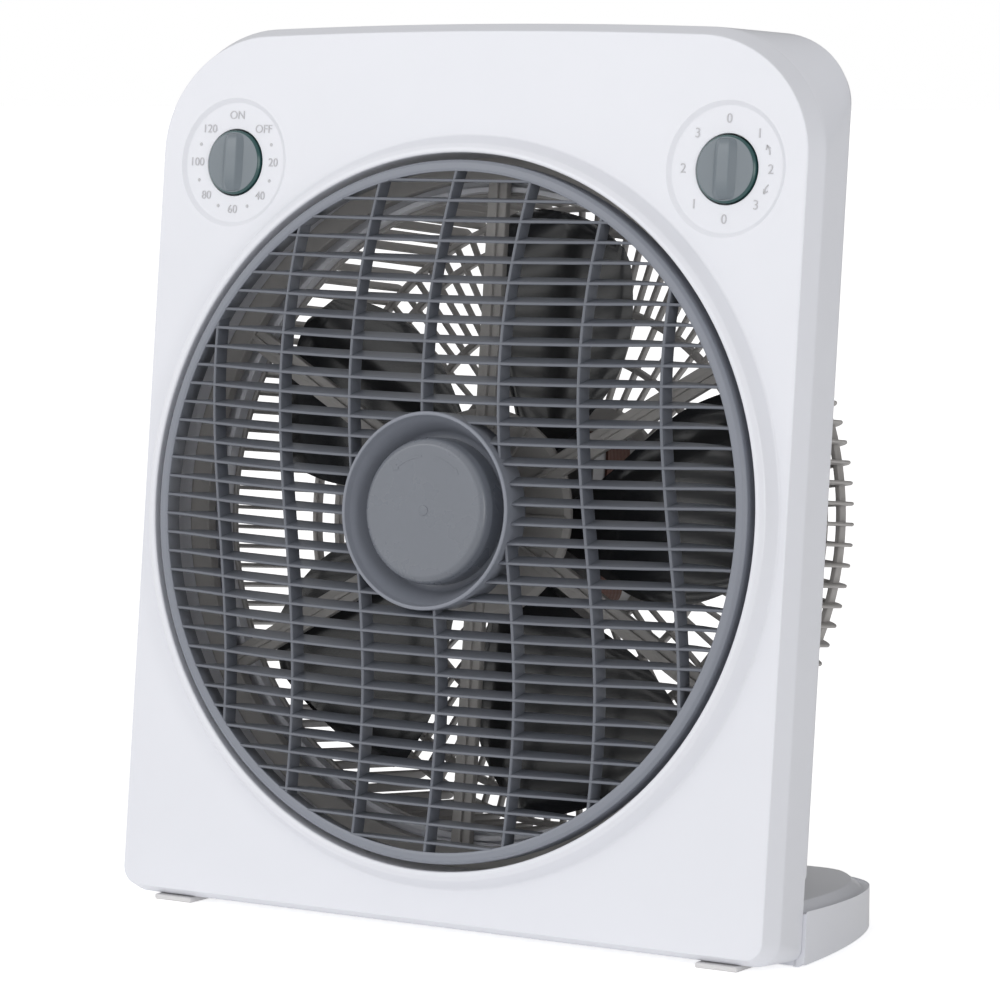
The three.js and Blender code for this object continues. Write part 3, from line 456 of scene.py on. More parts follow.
def turned(bm, profile, segments=192, x=0, z=0, closed=False):
    """A profile of (radius, y) points turned about Y. Returns its first and last rings."""
    rings = []
    for radius, y in profile:
        if radius < 1e-6:
            rings.append([bm.verts.new((x, y, z))])
        else:
            rings.append(ring_of(bm, radius, y, segments, x, z))
    for low, high in zip(rings, rings[1:]):
        bridge(bm, low, high)
    if closed:
        bridge(bm, rings[-1], rings[0])
    return rings[0], rings[-1]


def fill_flat(bm, *loops):
    """A flat face bounded by closed loops of vertices, the first one outside the others."""
    edges = []
    for loop in loops:
        for k, vertex in enumerate(loop):
            other = loop[(k + 1) % len(loop)]
            edges.append(bm.edges.get((vertex, other)) or bm.edges.new((vertex, other)))
    bmesh.ops.triangle_fill(bm, use_beauty=True, edges=edges)


def sweep(bm, sections):
    """A closed solid through sections with the same number of points, flat at both ends."""
    rings = [[bm.verts.new(point) for point in section] for section in sections]
    for low, high in zip(rings, rings[1:]):
        bridge(bm, low, high)
    bm.faces.new(rings[0])
    bm.faces.new(rings[-1])


def block(bm, centre, size, bevel=0.6, turn=0.0, steps=2):
    """A box with rounded edges, turned about Y through the origin."""
    place = Matrix.Rotation(turn, 4, "Y") @ Matrix.Translation(centre)
    stretch = Matrix.Diagonal(Vector(size).to_4d())
    made = bmesh.ops.create_cube(bm, size=1, matrix=stretch)["verts"]
    edges = list({edge for vertex in made for edge in vertex.link_edges})
    result = bmesh.ops.bevel(bm, geom=edges, offset=bevel, segments=steps, profile=0.5,
                             affect="EDGES")
    verts = {vertex for face in result["faces"] for vertex in face.verts}
    verts |= {vertex for vertex in made if vertex.is_valid}
    bmesh.ops.transform(bm, matrix=place, verts=list(verts))


def span(low, high, steps):
    return [low + (high - low) * k / steps for k in range(steps + 1)]


def share_of(value, start, end):
    """How far a value is on its way from start to end, held between 0 and 1."""
    return min(max((value - start) / (end - start), 0), 1)


# ---- Front shell ----

def corner_radius(y, front, back):
    """A corner's radius at depth y: it tightens from the bevel's crease to the shell's back."""
    return front + (back - front) * share_of(y, BEVEL_BACK, FRONT_DEPTH)


def outline(y, inset, low=None):
    """One section of the body at depth y, as points in the XZ plane from the bottom right.

    Its lower edge runs along the floor, or at height low where one is given.
    """
    half = HALF_WIDTH - inset
    top = BODY_TOP - inset
    bottom = -PANEL_TO_FLOOR + FOOT_GAP + y * math.tan(lean) + inset if low is None else low
    upper = corner_radius(y, TOP_CORNER, TOP_CORNER_BACK) - inset
    lower = max(corner_radius(y, BOTTOM_CORNER, BOTTOM_CORNER_BACK) - inset, 1)
    points = []
    quarter = math.pi / 2

    def corner(x, z, radius, start, steps):
        for k in range(steps + 1):
            angle = start + quarter * k / steps
            points.append(Vector((x + radius * math.cos(angle), y, z + radius * math.sin(angle))))

    corner(half - lower, bottom + lower, lower, -quarter, BOTTOM_STEPS)
    corner(half - upper, top - upper, upper, 0, TOP_STEPS)
    crown = span(half - upper, upper - half, CROWN_STEPS)
    points.extend(Vector((x, y, top)) for x in crown[1:-1])
    corner(-half + upper, top - upper, upper, quarter, TOP_STEPS)
    corner(-half + lower, bottom + lower, lower, 2 * quarter, BOTTOM_STEPS)
    for point in points:
        share = share_of(point.z, top - upper, top)
        point.z -= CROWN_DROP * share * (point.x / half) ** 2
    return points


def skin(bm, profile, lower_edge=None):
    """Rings round the body for a profile of (inset, y). Returns the first and last rings.

    Where lower_edge is given, it says how high each ring's lower edge is for its inset.
    """
    rings = []
    for inset, y in profile:
        low = None if lower_edge is None else lower_edge(inset)
        rings.append([bm.verts.new(point) for point in outline(y, inset, low)])
    for first, second in zip(rings, rings[1:]):
        bridge(bm, first, second)
    return rings[0], rings[-1]


def collar_profile():
    return rounded([
        (COLLAR_RADIUS, 0, 0), (COLLAR_RADIUS - 1.7, 0, 3.4),
        (OPENING + 4.6, -COLLAR_RISE + 1.5, 3.2), (OPENING + 2.2, -COLLAR_RISE, 2.2),
        (OPENING, -COLLAR_RISE, 1.1), (OPENING, DUCT_END, 0.4),
        (DUCT_OUTER, DUCT_END, 0.4), (DUCT_OUTER, WALL, 0),
    ], steps=6)


def dish_profile():
    """A dial's dish and the well that its knob sits in, front and back."""
    floor = DISH_RADIUS - DISH_SLOPE
    return rounded([
        (DISH_RADIUS + 1.0, 0, 0), (DISH_RADIUS, 0, 0.4), (floor, DISH_DEPTH, 1.4),
        (WELL_RADIUS, DISH_DEPTH, 0.4), (WELL_RADIUS, WELL_DEPTH, 0.6),
        (3.6, WELL_DEPTH, 0.3), (3.6, WELL_DEPTH + WALL, 0.3),
        (WELL_RADIUS + WALL, WELL_DEPTH + WALL, 1), (WELL_RADIUS + WALL, DISH_DEPTH + WALL, 0.5),
        (DISH_RADIUS + WALL, DISH_DEPTH + WALL, 1), (DISH_RADIUS + WALL, WALL, 0),
    ])


def build_front_shell():
    bm = bmesh.new()
    edge = BEVEL_IN + CREASE_REACH
    front, back = skin(bm, rounded([
        (edge, 0, 0), (BEVEL_IN, 0, 2.6), (0, BEVEL_BACK, 3.2), (0, FRONT_DEPTH, 0.6),
        (WALL, FRONT_DEPTH, 0.4), (WALL, BEVEL_BACK, 3), (BEVEL_IN + WALL, WALL, 2),
        (edge + WALL, WALL, 0),
    ]))
    front_loops, back_loops = [front], [back]
    near, far = turned(bm, collar_profile(), 240)
    front_loops.append(near)
    back_loops.append(far)
    for x in (-DIAL_X, DIAL_X):
        near, far = turned(bm, dish_profile(), 96, x, DIAL_Z)
        front_loops.append(near)
        back_loops.append(far)
    fill_flat(bm, *front_loops)
    fill_flat(bm, *back_loops)
    finish_piece(bm, "front_shell_moulding", "housing", "housing_white", ["front_shell"])


# ---- Rear shell ----

def ear_places():
    reach = (GUARD_RADIUS + 21) * math.sqrt(0.5)
    return [(reach, reach), (-reach, reach), (-reach, -reach), (reach, -reach)]


def case_screw_places():
    return [(side * x, z) for x, z in [(60, 205), (168, 110), (168, -130)] for side in (-1, 1)]


def build_rear_shell():
    bm = bmesh.new()
    face = rear_high.y
    front = rear_low.y
    profile = rounded([
        (2 * REAR_INSET + 2, face, 0), (2 * REAR_INSET - 0.4, face, 1.4),
        (REAR_INSET, face - REAR_INSET, 2.4), (REAR_INSET, front, 0.3),
        (REAR_INSET + WALL, front, 0.3), (REAR_INSET + WALL, face - WALL, 1),
        (2 * REAR_INSET + WALL + 2, face - WALL, 0),
    ])
    outside, inside = skin(bm, profile, lambda inset: rear_low.z + inset - REAR_INSET)
    near, far = turned(bm, rounded([
        (REAR_LEDGE_RADIUS + 1.2, face, 0), (REAR_LEDGE_RADIUS, face, 0.8),
        (REAR_LEDGE_RADIUS, front, 0.4), (REAR_LEDGE_RADIUS + WALL, front, 0.4),
        (REAR_LEDGE_RADIUS + WALL, face - WALL, 0),
    ]), 240)
    fill_flat(bm, outside, near)
    fill_flat(bm, inside, far)
    for x, z in case_screw_places():
        turned(bm, rounded([
            (4.6, face - 1, 0), (4.6, face + 1.5, 0.4), (6.4, face + 1.5, 0.5), (7.6, face - 1, 0),
        ]), 40, x, z, closed=True)
    finish_piece(bm, "rear_shell_moulding", "housing", "housing_white", ["rear_shell"])


# ---- Dial marks ----

CAPITAL_SHARE = 0.72    # a capital's height over the size of its font
ARROW_LENGTH = 4.4
ARROW_CURL = 0.5
ARROW_RELIEF = 0.3
ARROW_HALF = 0.28


def lettering(bm, text, x, z, height):
    """Raised characters centred on (x, z) of the panel, proud of a dish's floor."""
    curve = bpy.data.curves.new("lettering", "FONT")
    curve.body = text
    curve.size = height / CAPITAL_SHARE
    curve.align_x = "CENTER"
    curve.align_y = "CENTER"
    curve.extrude = MARK_RELIEF
    curve.resolution_u = 6
    curve.offset = -0.012 * height
    source = bpy.data.objects.new("lettering", curve)
    mesh = bpy.data.meshes.new_from_object(source)
    mesh.transform(Matrix((
        (1, 0, 0, x),
        (0, 0, -1, DISH_DEPTH),
        (0, 1, 0, z),
        (0, 0, 0, 1),
    )))
    bm.from_mesh(mesh)
    bpy.data.objects.remove(source)
    bpy.data.curves.remove(curve)
    bpy.data.meshes.remove(mesh)


def arrow(bm, x, z, turn):
    """A small raised arrow that bends as it runs, drawn as a ribbon and a barbed head."""
    middle = [Vector((ARROW_CURL * math.sin(math.pi * t), ARROW_LENGTH * (t - 0.5)))
              for t in span(0, 1, 8)]
    spin = Matrix.Rotation(turn, 2)
    top = DISH_DEPTH - ARROW_RELIEF
    sunk = DISH_DEPTH + 0.2

    def ribbon(points):
        sections = []
        for k, point in enumerate(points):
            ahead = points[min(k + 1, len(points) - 1)] - points[max(k - 1, 0)]
            side = Vector((-ahead.y, ahead.x)).normalized() * ARROW_HALF
            low = spin @ (point - side)
            high = spin @ (point + side)
            sections.append([
                (x + low.x, top, z + low.y), (x + high.x, top, z + high.y),
                (x + high.x, sunk, z + high.y), (x + low.x, sunk, z + low.y),
            ])
        sweep(bm, sections)

    ribbon(middle)
    tip = middle[-1]
    for side in (-1, 1):
        ribbon([tip + Vector((0, 0.2)), tip + Vector((side * 1.1, -1.7))])


def mark_place(x, step):
    """Where a dial's mark goes, counted in eighths of a turn clockwise from the top."""
    angle = step * MARK_STEP
    return x + MARK_RADIUS * math.sin(angle), DIAL_Z + MARK_RADIUS * math.cos(angle)


def build_dial_marks():
    # Both sets of marks below take mark_grey, painted shade on raised marks that are really white like the panel.
    marks = bmesh.new()
    for k, text in enumerate(["ON", "OFF", "20", "40", "60", "80", "100", "120"]):
        x, z = mark_place(-DIAL_X, k)
        lettering(marks, text, x, z, MARK_HEIGHT)
    top = DISH_DEPTH - 0.4
    sunk = DISH_DEPTH + 0.2
    dot = rounded([(0, top, 0), (0.8, top, 0.3), (0.8, sunk, 0)])
    for k in range(1, 7):
        x, z = mark_place(-DIAL_X, k + 0.5)
        turned(marks, [*dot, (0, sunk)], 16, x, z)
    finish_piece(marks, "timer_marks", "housing", "housing_white", looks=["mark_grey"])
    marks = bmesh.new()
    for k, text in enumerate("01230123"):
        x, z = mark_place(DIAL_X, k)
        lettering(marks, text, x, z, NUMBER_HEIGHT)
    for k, turn in ((1.5, 0.35), (2.5, math.pi - 0.5)):
        x, z = mark_place(DIAL_X, k)
        arrow(marks, x, z, turn)
    finish_piece(marks, "speed_marks", "housing", "housing_white", looks=["mark_grey"])


# ---- Knobs ----

def build_knob(node, body, x):
    """A round knob in its well, with a raised grip bar across it."""
    low, high = extent(node)
    face = low.y + GRIP_PROUD
    back = high.y
    face_radius = KNOB_RADIUS - 0.9
    bm = bmesh.new()
    turned(bm, rounded([
        (0, face, 0), (face_radius, face, 0.8), (KNOB_RADIUS, face + 1, 0.6),
        (KNOB_RADIUS, back, 0.4), (0, back, 0),
    ], steps=6), 96, x, DIAL_Z)
    for polygon in bm.faces:
        middle = polygon.calc_center_median()
        radius = math.hypot(middle.x - x, middle.z - DIAL_Z)
        polygon.material_index = 1 if radius > face_radius else 0
    half_length = KNOB_RADIUS - 1.6
    sections = []
    for t in span(-1, 1, 28):
        reach = math.sqrt(max(0.0, 1 - abs(t) ** 5))
        half = GRIP_HALF * (0.35 + 0.65 * reach)
        top = low.y + (face - low.y) * (1 - reach) * 1.02
        z = DIAL_Z + half_length * t
        crest = rounded([
            (-half - 4, face + 0.8, 0), (-half - 2.9, face, 2), (-half, top, 1.4),
            (half, top, 1.4), (half + 2.9, face, 2), (half + 4, face + 0.8, 0),
        ], steps=4)
        sections.append([(x + u, v, z) for u, v in crest])
    sweep(bm, sections)
    finish_piece(bm, node + "_moulding", body, "knob_grey", [node],
                 looks=["knob_grey", "knob_rim"], sharp=40)


# ---- Swinging grille ----

def domed(x, y, z):
    """Raises a point of the flat lattice into the dome and tilts the louvres down."""
    radius = math.hypot(x, z)
    height = y - DOME_RISE * (1 - (radius / RING_RADIUS) ** 2)
    tilt = math.tan(LOUVRE_TILT) * max(0, 1 - (radius / LATTICE_INNER) ** 8)
    return Vector((x, height, z + (height - LATTICE_FRONT) * tilt))


def crossing(path, radius, low, high):
    """Where a path of flat points first has the given radius once domed, by halving."""
    for _ in range(26):
        middle = (low + high) / 2
        point = domed(*path(middle))
        if math.hypot(point.x, point.z) < radius:
            low = middle
        else:
            high = middle
    return (low + high) / 2


def strip_section(front_half, back_half, sunk=0.0):
    """A louvre's or bar's section as (offset, y) points, rounded at the front."""
    section = rounded([
        (-front_half, 0, 0.7), (front_half, 0, 0.7),
        (back_half, LATTICE_DEPTH, 0.3), (-back_half, LATTICE_DEPTH, 0.3),
    ], closed=True, steps=3)
    return [(offset, LATTICE_FRONT + depth + sunk) for offset, depth in section]


def runs(paths):
    """Each strip is one run, or two where the hub stops it. Yields (start, end) per path."""
    starts, ends = {}, {}
    for side in (-1, 1):
        starts[side] = []
        ends[side] = [crossing(path, LATTICE_END, 0, side * RING_RADIUS) for path in paths]
        for path in paths:
            point = domed(*path(0))
            inside = math.hypot(point.x, point.z) < HUB_STOP
            starts[side].append(crossing(path, HUB_STOP, 0, side * HUB_REACH) if inside else 0)
    if any(starts[1]) or any(starts[-1]):
        for side in (-1, 1):
            yield list(zip(starts[side], ends[side]))
    else:
        yield list(zip(ends[-1], ends[1]))


def add_strip(bm, paths, pitch):
    """Sweeps a louvre or a bar along its paths, one path for each point of its section."""
    for run in runs(paths):
        longest = max(abs(end - start) for start, end in run)
        steps = max(2, round(longest / pitch))
        sections = []
        for k in range(steps + 1):
            section = []
            for path, (start, end) in zip(paths, run):
                section.append(domed(*path(start + (end - start) * k / steps)))
            sections.append(section)
        sweep(bm, sections)


def bar_x(index, z):
    """Where a bar is across the grille at height z: it follows a slow wave."""
    straight = (index - (BAR_COUNT - 1) / 2) * BAR_PITCH
    return straight - BAR_WAVE * math.sin(math.pi * z / BAR_WAVE_LENGTH)


def louvre_path(row, offset, y):
    return lambda x: (x, y, row * LOUVRE_PITCH + offset)


def bar_path(index, offset, y):
    return lambda z: (bar_x(index, z) + offset, y, z)


def build_grille():
    bm = bmesh.new()
    rows = int(LATTICE_INNER / LOUVRE_PITCH)
    for row in range(-rows, rows + 1):
        paths = [louvre_path(row, offset, y) for offset, y in strip_section(0.75, 0.6)]
        add_strip(bm, paths, LOUVRE_STEP)
    for index in range(BAR_COUNT):
        paths = [bar_path(index, offset, y) for offset, y in strip_section(0.8, 0.7, 0.15)]
        add_strip(bm, paths, BAR_STEP)
    lattice_count = len(bm.faces)
    turned(bm, rounded([
        (LATTICE_INNER, RING_FRONT + 0.4, 0.5), (LATTICE_INNER + 1.4, RING_FRONT, 0.8),
        (RING_RADIUS - 1.5, RING_FRONT, 1.2), (RING_RADIUS, RING_FRONT + 1.7, 1.2),
        (RING_RADIUS, RING_BACK, 0.4), (LATTICE_INNER + 2, RING_BACK, 0.4),
    ], closed=True, steps=5), 256, closed=True)
    hub_back = HUB_FLOOR + 2.4
    turned(bm, rounded([
        (HUB_BORE, HUB_FLOOR, 0), (33, HUB_FLOOR, 2), (37, HUB_FLOOR, 9),
        (HUB_RADIUS - 2.6, HUB_FRONT + 3, 7), (HUB_RADIUS - 1.7, HUB_FRONT, 0.5),
        (HUB_RADIUS, HUB_FRONT, 0.8), (HUB_RADIUS, HUB_FLOOR + 1, 2),
        (38.4, hub_back, 1), (10, hub_back, 0.6), (9.2, HUB_TAIL, 0.4), (HUB_BORE, HUB_TAIL, 0),
    ], steps=6), 160, closed=True)
    bm.faces.ensure_lookup_table()
    for face in bm.faces[lattice_count:]:
        face.material_index = 1
    finish_piece(bm, "swing_grille_moulding", "grille", "grille_grey", ["swing_grille"],
                 looks=["grille_grey", "ring_grey"], sharp=40)


def arc_arrow(bm, radius, start, end, y):
    """A raised arrow that runs round the cap from one angle to another, with a plain head."""
    head = math.copysign(3.2 / radius, end - start)

    def section(angle, half):
        points = []
        for reach, depth in ((-half, -0.22), (half, -0.22), (half, 0.3), (-half, 0.3)):
            r = radius + reach
            points.append((r * math.sin(angle), y + depth, r * math.cos(angle)))
        return points

    sweep(bm, [section(angle, 0.45) for angle in span(start, end - head, 18)])
    sweep(bm, [section(end - head, 1.4), section(end, 0.12)])


def build_cap():
    bm = bmesh.new()
    front = cap_low.y
    back = cap_high.y
    turned(bm, rounded([
        (0, front + 0.25, 0), (16, front + 0.2, 30), (CAP_RADIUS - 3.4, front, 2.2),
        (CAP_RADIUS - 0.9, front + 1.8, 3.4), (CAP_RADIUS, front + 6, 4), (CAP_RADIUS, back, 0.3),
        (SHAFT_BORE, back, 0.3), (SHAFT_BORE, back - 5.2, 0.3), (0, back - 5.2, 0),
    ], steps=8), 160)
    for side in (-1, 1):
        arc_arrow(bm, 25.5, side * math.radians(6), side * math.radians(46), front + 0.15)
    turned(bm, rounded([
        (0, front - 0.12, 0), (2.2, front - 0.12, 0.3), (2.5, front + 0.4, 0),
    ]) + [Vector((0, front + 0.6))], 32)
    finish_piece(bm, "lock_cap_moulding", "lock_cap", "grille_grey", ["grille_lock_cap"],
                 looks=["cap_grey"], sharp=50)


# ---- Bracket behind the grille ----

def build_bracket():
    """A ring inside the duct, six arms and a ribbed disc round the grille's spindle."""
    bm = bmesh.new()
    front = DUCT_END + 0.3
    back = front + 6.4
    ring_inner = DUCT_OUTER - 13
    disc_front = 25.5
    disc_back = 29
    turned(bm, rounded([
        (ring_inner, front, 0.8), (DUCT_OUTER, front, 0.5), (DUCT_OUTER, back, 0.5),
        (ring_inner, back, 0.8),
    ], closed=True), 192, closed=True)
    turned(bm, rounded([
        (SHAFT_BORE, bracket_low.y, 0.3), (11, bracket_low.y, 0.8), (11, disc_front, 1.5),
        (47, disc_front, 1.0), (50, disc_front + 1.5, 1.2), (50, disc_back, 0.5),
        (SHAFT_BORE, disc_back, 0.3),
    ], closed=True), 96, closed=True)
    arm_start = 40
    arm_end = ring_inner + 3
    arm_middle = (arm_start + arm_end) / 2
    arm_length = arm_end - arm_start
    arm_depth = back - 2.2
    rib_depth = arm_depth - 2.6
    for k in range(6):
        angle = math.tau * (k + 0.5) / 6
        block(bm, (arm_middle, arm_depth, 0), (arm_length, 4.4, 11), 1.1, angle)
        block(bm, (arm_middle, rib_depth, 0), (arm_length - 1, 2.4, 2.4), 0.5, angle)
    for k in range(12):
        block(bm, (30, 24.8, 0), (36, 2.6, 1.8), 0.4, math.tau * k / 12)
    finish_piece(bm, "grille_bracket_moulding", "housing", "bracket_white", ["grille_bracket"])


# ---- Impeller ----

BLADE_ROOT = WHEEL_RADIUS - 1.25
BLADE_HALF_ANGLE = math.radians(27)
BLADE_SWEEP = math.radians(14)
BLADE_TIP_SHARE = 0.1           # the share of the blade's length where its tip rounds off
BLADE_ROOT_RISE = 3.6
BLADE_TIP_RISE = 10.5
MOTOR_REACH = 55.7              # out to this radius the blades stay clear of the motor behind
CHORD_STEPS = 22


def blade_sections(turn):
    """Sections along one blade, each a thin airfoil from its leading to its trailing edge."""
    sections = []
    for along in span(0, 1, 28):
        radius = BLADE_ROOT + (BLADE_TIP - BLADE_ROOT) * along
        belly = math.sin(math.pi * (0.15 + 0.7 * along)) ** 2
        past = max(0.0, (along - (1 - BLADE_TIP_SHARE)) / BLADE_TIP_SHARE)
        rounding = math.sqrt(max(0.0, 1 - past ** 2.4))
        half = BLADE_HALF_ANGLE * (0.72 + 0.5 * belly)
        half *= 0.62 + 0.38 * rounding
        share = share_of(radius, MOTOR_REACH, BLADE_TIP)
        rise = BLADE_ROOT_RISE + (BLADE_TIP_RISE - BLADE_ROOT_RISE) * share
        section = []
        for side in (-1, 1):
            for u in span(-side, side, CHORD_STEPS)[1:]:
                thickness = 1.05 * math.sqrt(max(0.0, 1 - u ** 6)) + 0.05
                angle = turn + u * half * 0.82 + BLADE_SWEEP * (along - 0.5)
                y = BLADE_MIDDLE + u * rise + side * thickness
                section.append((radius * math.cos(angle), y, radius * math.sin(angle)))
        sections.append(section)
    return sections


def build_impeller():
    bm = bmesh.new()
    turned(bm, rounded([
        (SHAFT_BORE, WHEEL_FRONT, 0.3), (22, WHEEL_FRONT, 1), (23.5, WHEEL_FRONT + 0.8, 1),
        (WHEEL_RADIUS - 1, WHEEL_FRONT + 0.8, 2.5), (WHEEL_RADIUS, WHEEL_BACK, 0.4),
        (WHEEL_RADIUS - 2.5, WHEEL_BACK, 0.4), (WHEEL_RADIUS - 3, WHEEL_FRONT + 3.4, 1.5),
        (9, WHEEL_FRONT + 3, 0.8), (9, WHEEL_BACK, 0.4), (SHAFT_BORE, WHEEL_BACK, 0.3),
    ], closed=True), 96, closed=True)
    for k in range(BLADE_COUNT):
        sweep(bm, blade_sections(math.tau * k / BLADE_COUNT + BLADE_TURN))
    finish_piece(bm, "impeller_moulding", "rotor", "impeller_black", ["impeller"], sharp=45)


def build_nut():
    """The nut in front of the impeller, with grip ribs round its edge."""
    bm = bmesh.new()
    front = nut_low.y
    back = nut_high.y
    radius = nut_high.x
    shoulder = front + 1.6
    turned(bm, rounded([
        (0, front, 0), (5, front, 0.8), (radius, shoulder, 1.4), (radius, back, 0.4), (0, back, 0),
    ]), 64)
    rib_middle = (shoulder + back) / 2
    for k in range(24):
        turn = math.tau * k / 24
        block(bm, (radius - 0.3, rib_middle, 0), (0.9, 2.4, 1.1), 0.25, turn, steps=1)
    finish_piece(bm, "impeller_nut_moulding", "rotor", "impeller_black", ["impeller_nut"])


# ---- Rear guard ----

def fin_path(inner):
    """The middle line of a fin in (radius, y): along the wall, round the bend and inwards."""
    wall = GUARD_RADIUS - FIN_DEPTH / 2
    face = GUARD_BACK - FIN_DEPTH / 2
    bend = FIN_BEND - FIN_DEPTH / 2
    line = [(wall, y) for y in span(GUARD_FRONT + 1, face - bend, 6)]
    for k in range(1, 9):
        angle = math.pi / 2 * k / 8
        line.append((wall - bend + bend * math.cos(angle), face - bend + bend * math.sin(angle)))
    line.extend((radius, face) for radius in span(wall - bend, inner, 6)[1:])
    return [Vector(point) for point in line]


def add_fin(bm, angle, inner):
    """One fin: a rounded bar bent into an L, with the wide way of its section in its own plane."""
    line = fin_path(inner)
    section = rounded([
        (-FIN_THICKNESS / 2, -FIN_DEPTH / 2, 0.9), (FIN_THICKNESS / 2, -FIN_DEPTH / 2, 0.9),
        (FIN_THICKNESS / 2, FIN_DEPTH / 2, 0.9), (-FIN_THICKNESS / 2, FIN_DEPTH / 2, 0.9),
    ], closed=True, steps=2)
    radial = Vector((math.cos(angle), 0, math.sin(angle)))
    sideways = Vector((-math.sin(angle), 0, math.cos(angle)))
    sections = []
    for k, point in enumerate(line):
        ahead = line[min(k + 1, len(line) - 1)] - line[max(k - 1, 0)]
        ahead.normalize()
        out = Vector((ahead.y, -ahead.x))
        ring = []
        for u, v in section:
            place = point + out * v
            ring.append(radial * place.x + Vector((0, place.y, 0)) + sideways * u)
        sections.append(ring)
    sweep(bm, sections)


def hoop(bm, inner, outer, front, back, radius=0.8):
    turned(bm, rounded([
        (inner, front, radius), (outer, front, radius), (outer, back, radius), (inner, back, radius),
    ], closed=True, steps=3), 200, closed=True)


def build_guard():
    """Two rings of bent fins, tied by hoops, round a plate, with four screw ears."""
    bm = bmesh.new()
    face = GUARD_BACK
    rim_back = GUARD_FRONT + 2.6
    for k in range(FIN_COUNT):
        inner = PLATE_RADIUS - 1 if k % 2 == 0 else SHORT_FIN_END
        add_fin(bm, math.tau * (k + 0.5) / FIN_COUNT, inner)
    hoop(bm, GUARD_RADIUS - 5.4, GUARD_RADIUS + 3, GUARD_FRONT, rim_back, 0.6)
    hoop(bm, GUARD_RADIUS - 7.6, GUARD_RADIUS - 4.6, face - 8.4, face - 2.8)
    for inner, outer in ((138, 141.5), (102.2, 105.7), (78, 81)):
        hoop(bm, inner, outer, face - 4.8, face - 0.3)
    plate_front = face - FIN_DEPTH
    raised = face - 0.2
    sunk = face - 1.4
    turned(bm, rounded([
        (8.6, plate_front, 0.5), (PLATE_RADIUS, plate_front, 0.8), (PLATE_RADIUS, raised, 1.2),
        (PLATE_RADIUS - 7, raised, 1), (PLATE_RADIUS - 8, sunk, 1), (20, sunk, 1),
        (19, raised, 1), (8.6, raised, 0.8),
    ], closed=True), 120, closed=True)
    ear = rounded([
        (2.3, GUARD_FRONT, 0.2), (8, GUARD_FRONT, 0.4), (8, rim_back, 0.6), (2.3, rim_back, 0.2),
    ], closed=True, steps=3)
    for x, z in ear_places():
        reach = math.hypot(x, z)
        place = ((reach + GUARD_RADIUS) / 2, GUARD_FRONT + 1.3, 0)
        block(bm, place, (reach - GUARD_RADIUS + 3, 2.6, 16), 0.5, -math.atan2(z, x))
        turned(bm, ear, 40, x, z, closed=True)
    finish_piece(bm, "rear_guard_moulding", "housing", "guard_grey", ["rear_guard"], sharp=45)


# ---- Screws and cord gland ----

def build_screw(node):
    """A pan-head screw with a black cross of painted shade in its head, on the axis of the CAD screw."""
    low, high = extent(node)
    x = (low.x + high.x) / 2
    z = (low.z + high.z) / 2
    seat = high.y - 2.2
    bm = bmesh.new()
    turned(bm, rounded([
        (0, low.y, 0), (1.2, low.y + 1.6, 0.3), (1.9, low.y + 3, 0.3), (1.9, seat, 0.2),
        (4, seat, 0.3), (3.9, seat + 1.2, 1.0), (2.6, seat + 2.0, 2), (0, seat + 2.15, 0),
    ], steps=4), 40, x, z)
    metal_count = len(bm.faces)
    # The cross is a black solid flush with the head: painted shade standing in for the dark of a cross recess.
    middle = Vector((x, seat + 2.08, z))
    slot_section = ((-0.32, 0.1), (0.32, 0.1), (0.32, -0.6), (-0.32, -0.6))
    for turn in (0.4, 0.4 + math.pi / 2):
        arm = Vector((math.cos(turn), 0, math.sin(turn)))
        side = Vector((-arm.z, 0, arm.x))
        sections = []
        for reach in (-1.9, 1.9):
            end = middle + arm * reach
            sections.append([end + side * w + Vector((0, d, 0)) for w, d in slot_section])
        sweep(bm, sections)
    bm.faces.ensure_lookup_table()
    for face in bm.faces[metal_count:]:
        face.material_index = 1
    finish_piece(bm, node + "_piece", "housing", "steel_parts", [node],
                 looks=["steel_parts", "electric_black"])


def build_gland():
    """The cord's gland: a flange inside the shell and a ribbed sleeve outside it."""
    low, high = extent("cord_gland")
    x = (low.x + high.x) / 2
    z = (low.z + high.z) / 2
    wide = (high.x - low.x) / 2
    bore = 4.5
    neck = rear_high.y + 0.3
    profile = [
        (bore, low.y, 0.4), (wide - 1, low.y, 0.4), (wide - 1, low.y + 2.5, 0.3),
        (wide - 1.9, low.y + 3, 0.3), (wide - 1.9, neck, 0.3), (wide, neck, 0.5),
    ]
    for k in range(3):
        y = neck + 1.4 + 1.9 * k
        rib = wide - 0.5 * k
        profile += [
            (rib, y, 0.4), (rib - 1.6, y + 0.5, 0.3), (rib - 1.6, y + 1.1, 0.3),
            (rib - 0.7, y + 1.6, 0.3),
        ]
    profile += [(wide - 2.6, high.y, 0.4), (bore, high.y, 0.5)]
    bm = bmesh.new()
    turned(bm, rounded(profile, closed=True, steps=3), 48, x, z, closed=True)
    finish_piece(bm, "cord_gland_piece", "housing", "electric_black", ["cord_gland"], sharp=50)


# ---- Stand and feet ----

def stand_top(y):
    share = (y - STAND_FRONT) / (STAND_BACK - STAND_FRONT)
    return STAND_TOP_FRONT + (STAND_TOP_BACK - STAND_TOP_FRONT) * share


def bezier(a, b, c, d, steps):
    """Points along a cubic curve, without its last one."""
    points = []
    for k in range(steps):
        t = k / steps
        s = 1 - t
        points.append(a * s ** 3 + b * 3 * s * s * t + c * 3 * s * t * t + d * t ** 3)
    return points


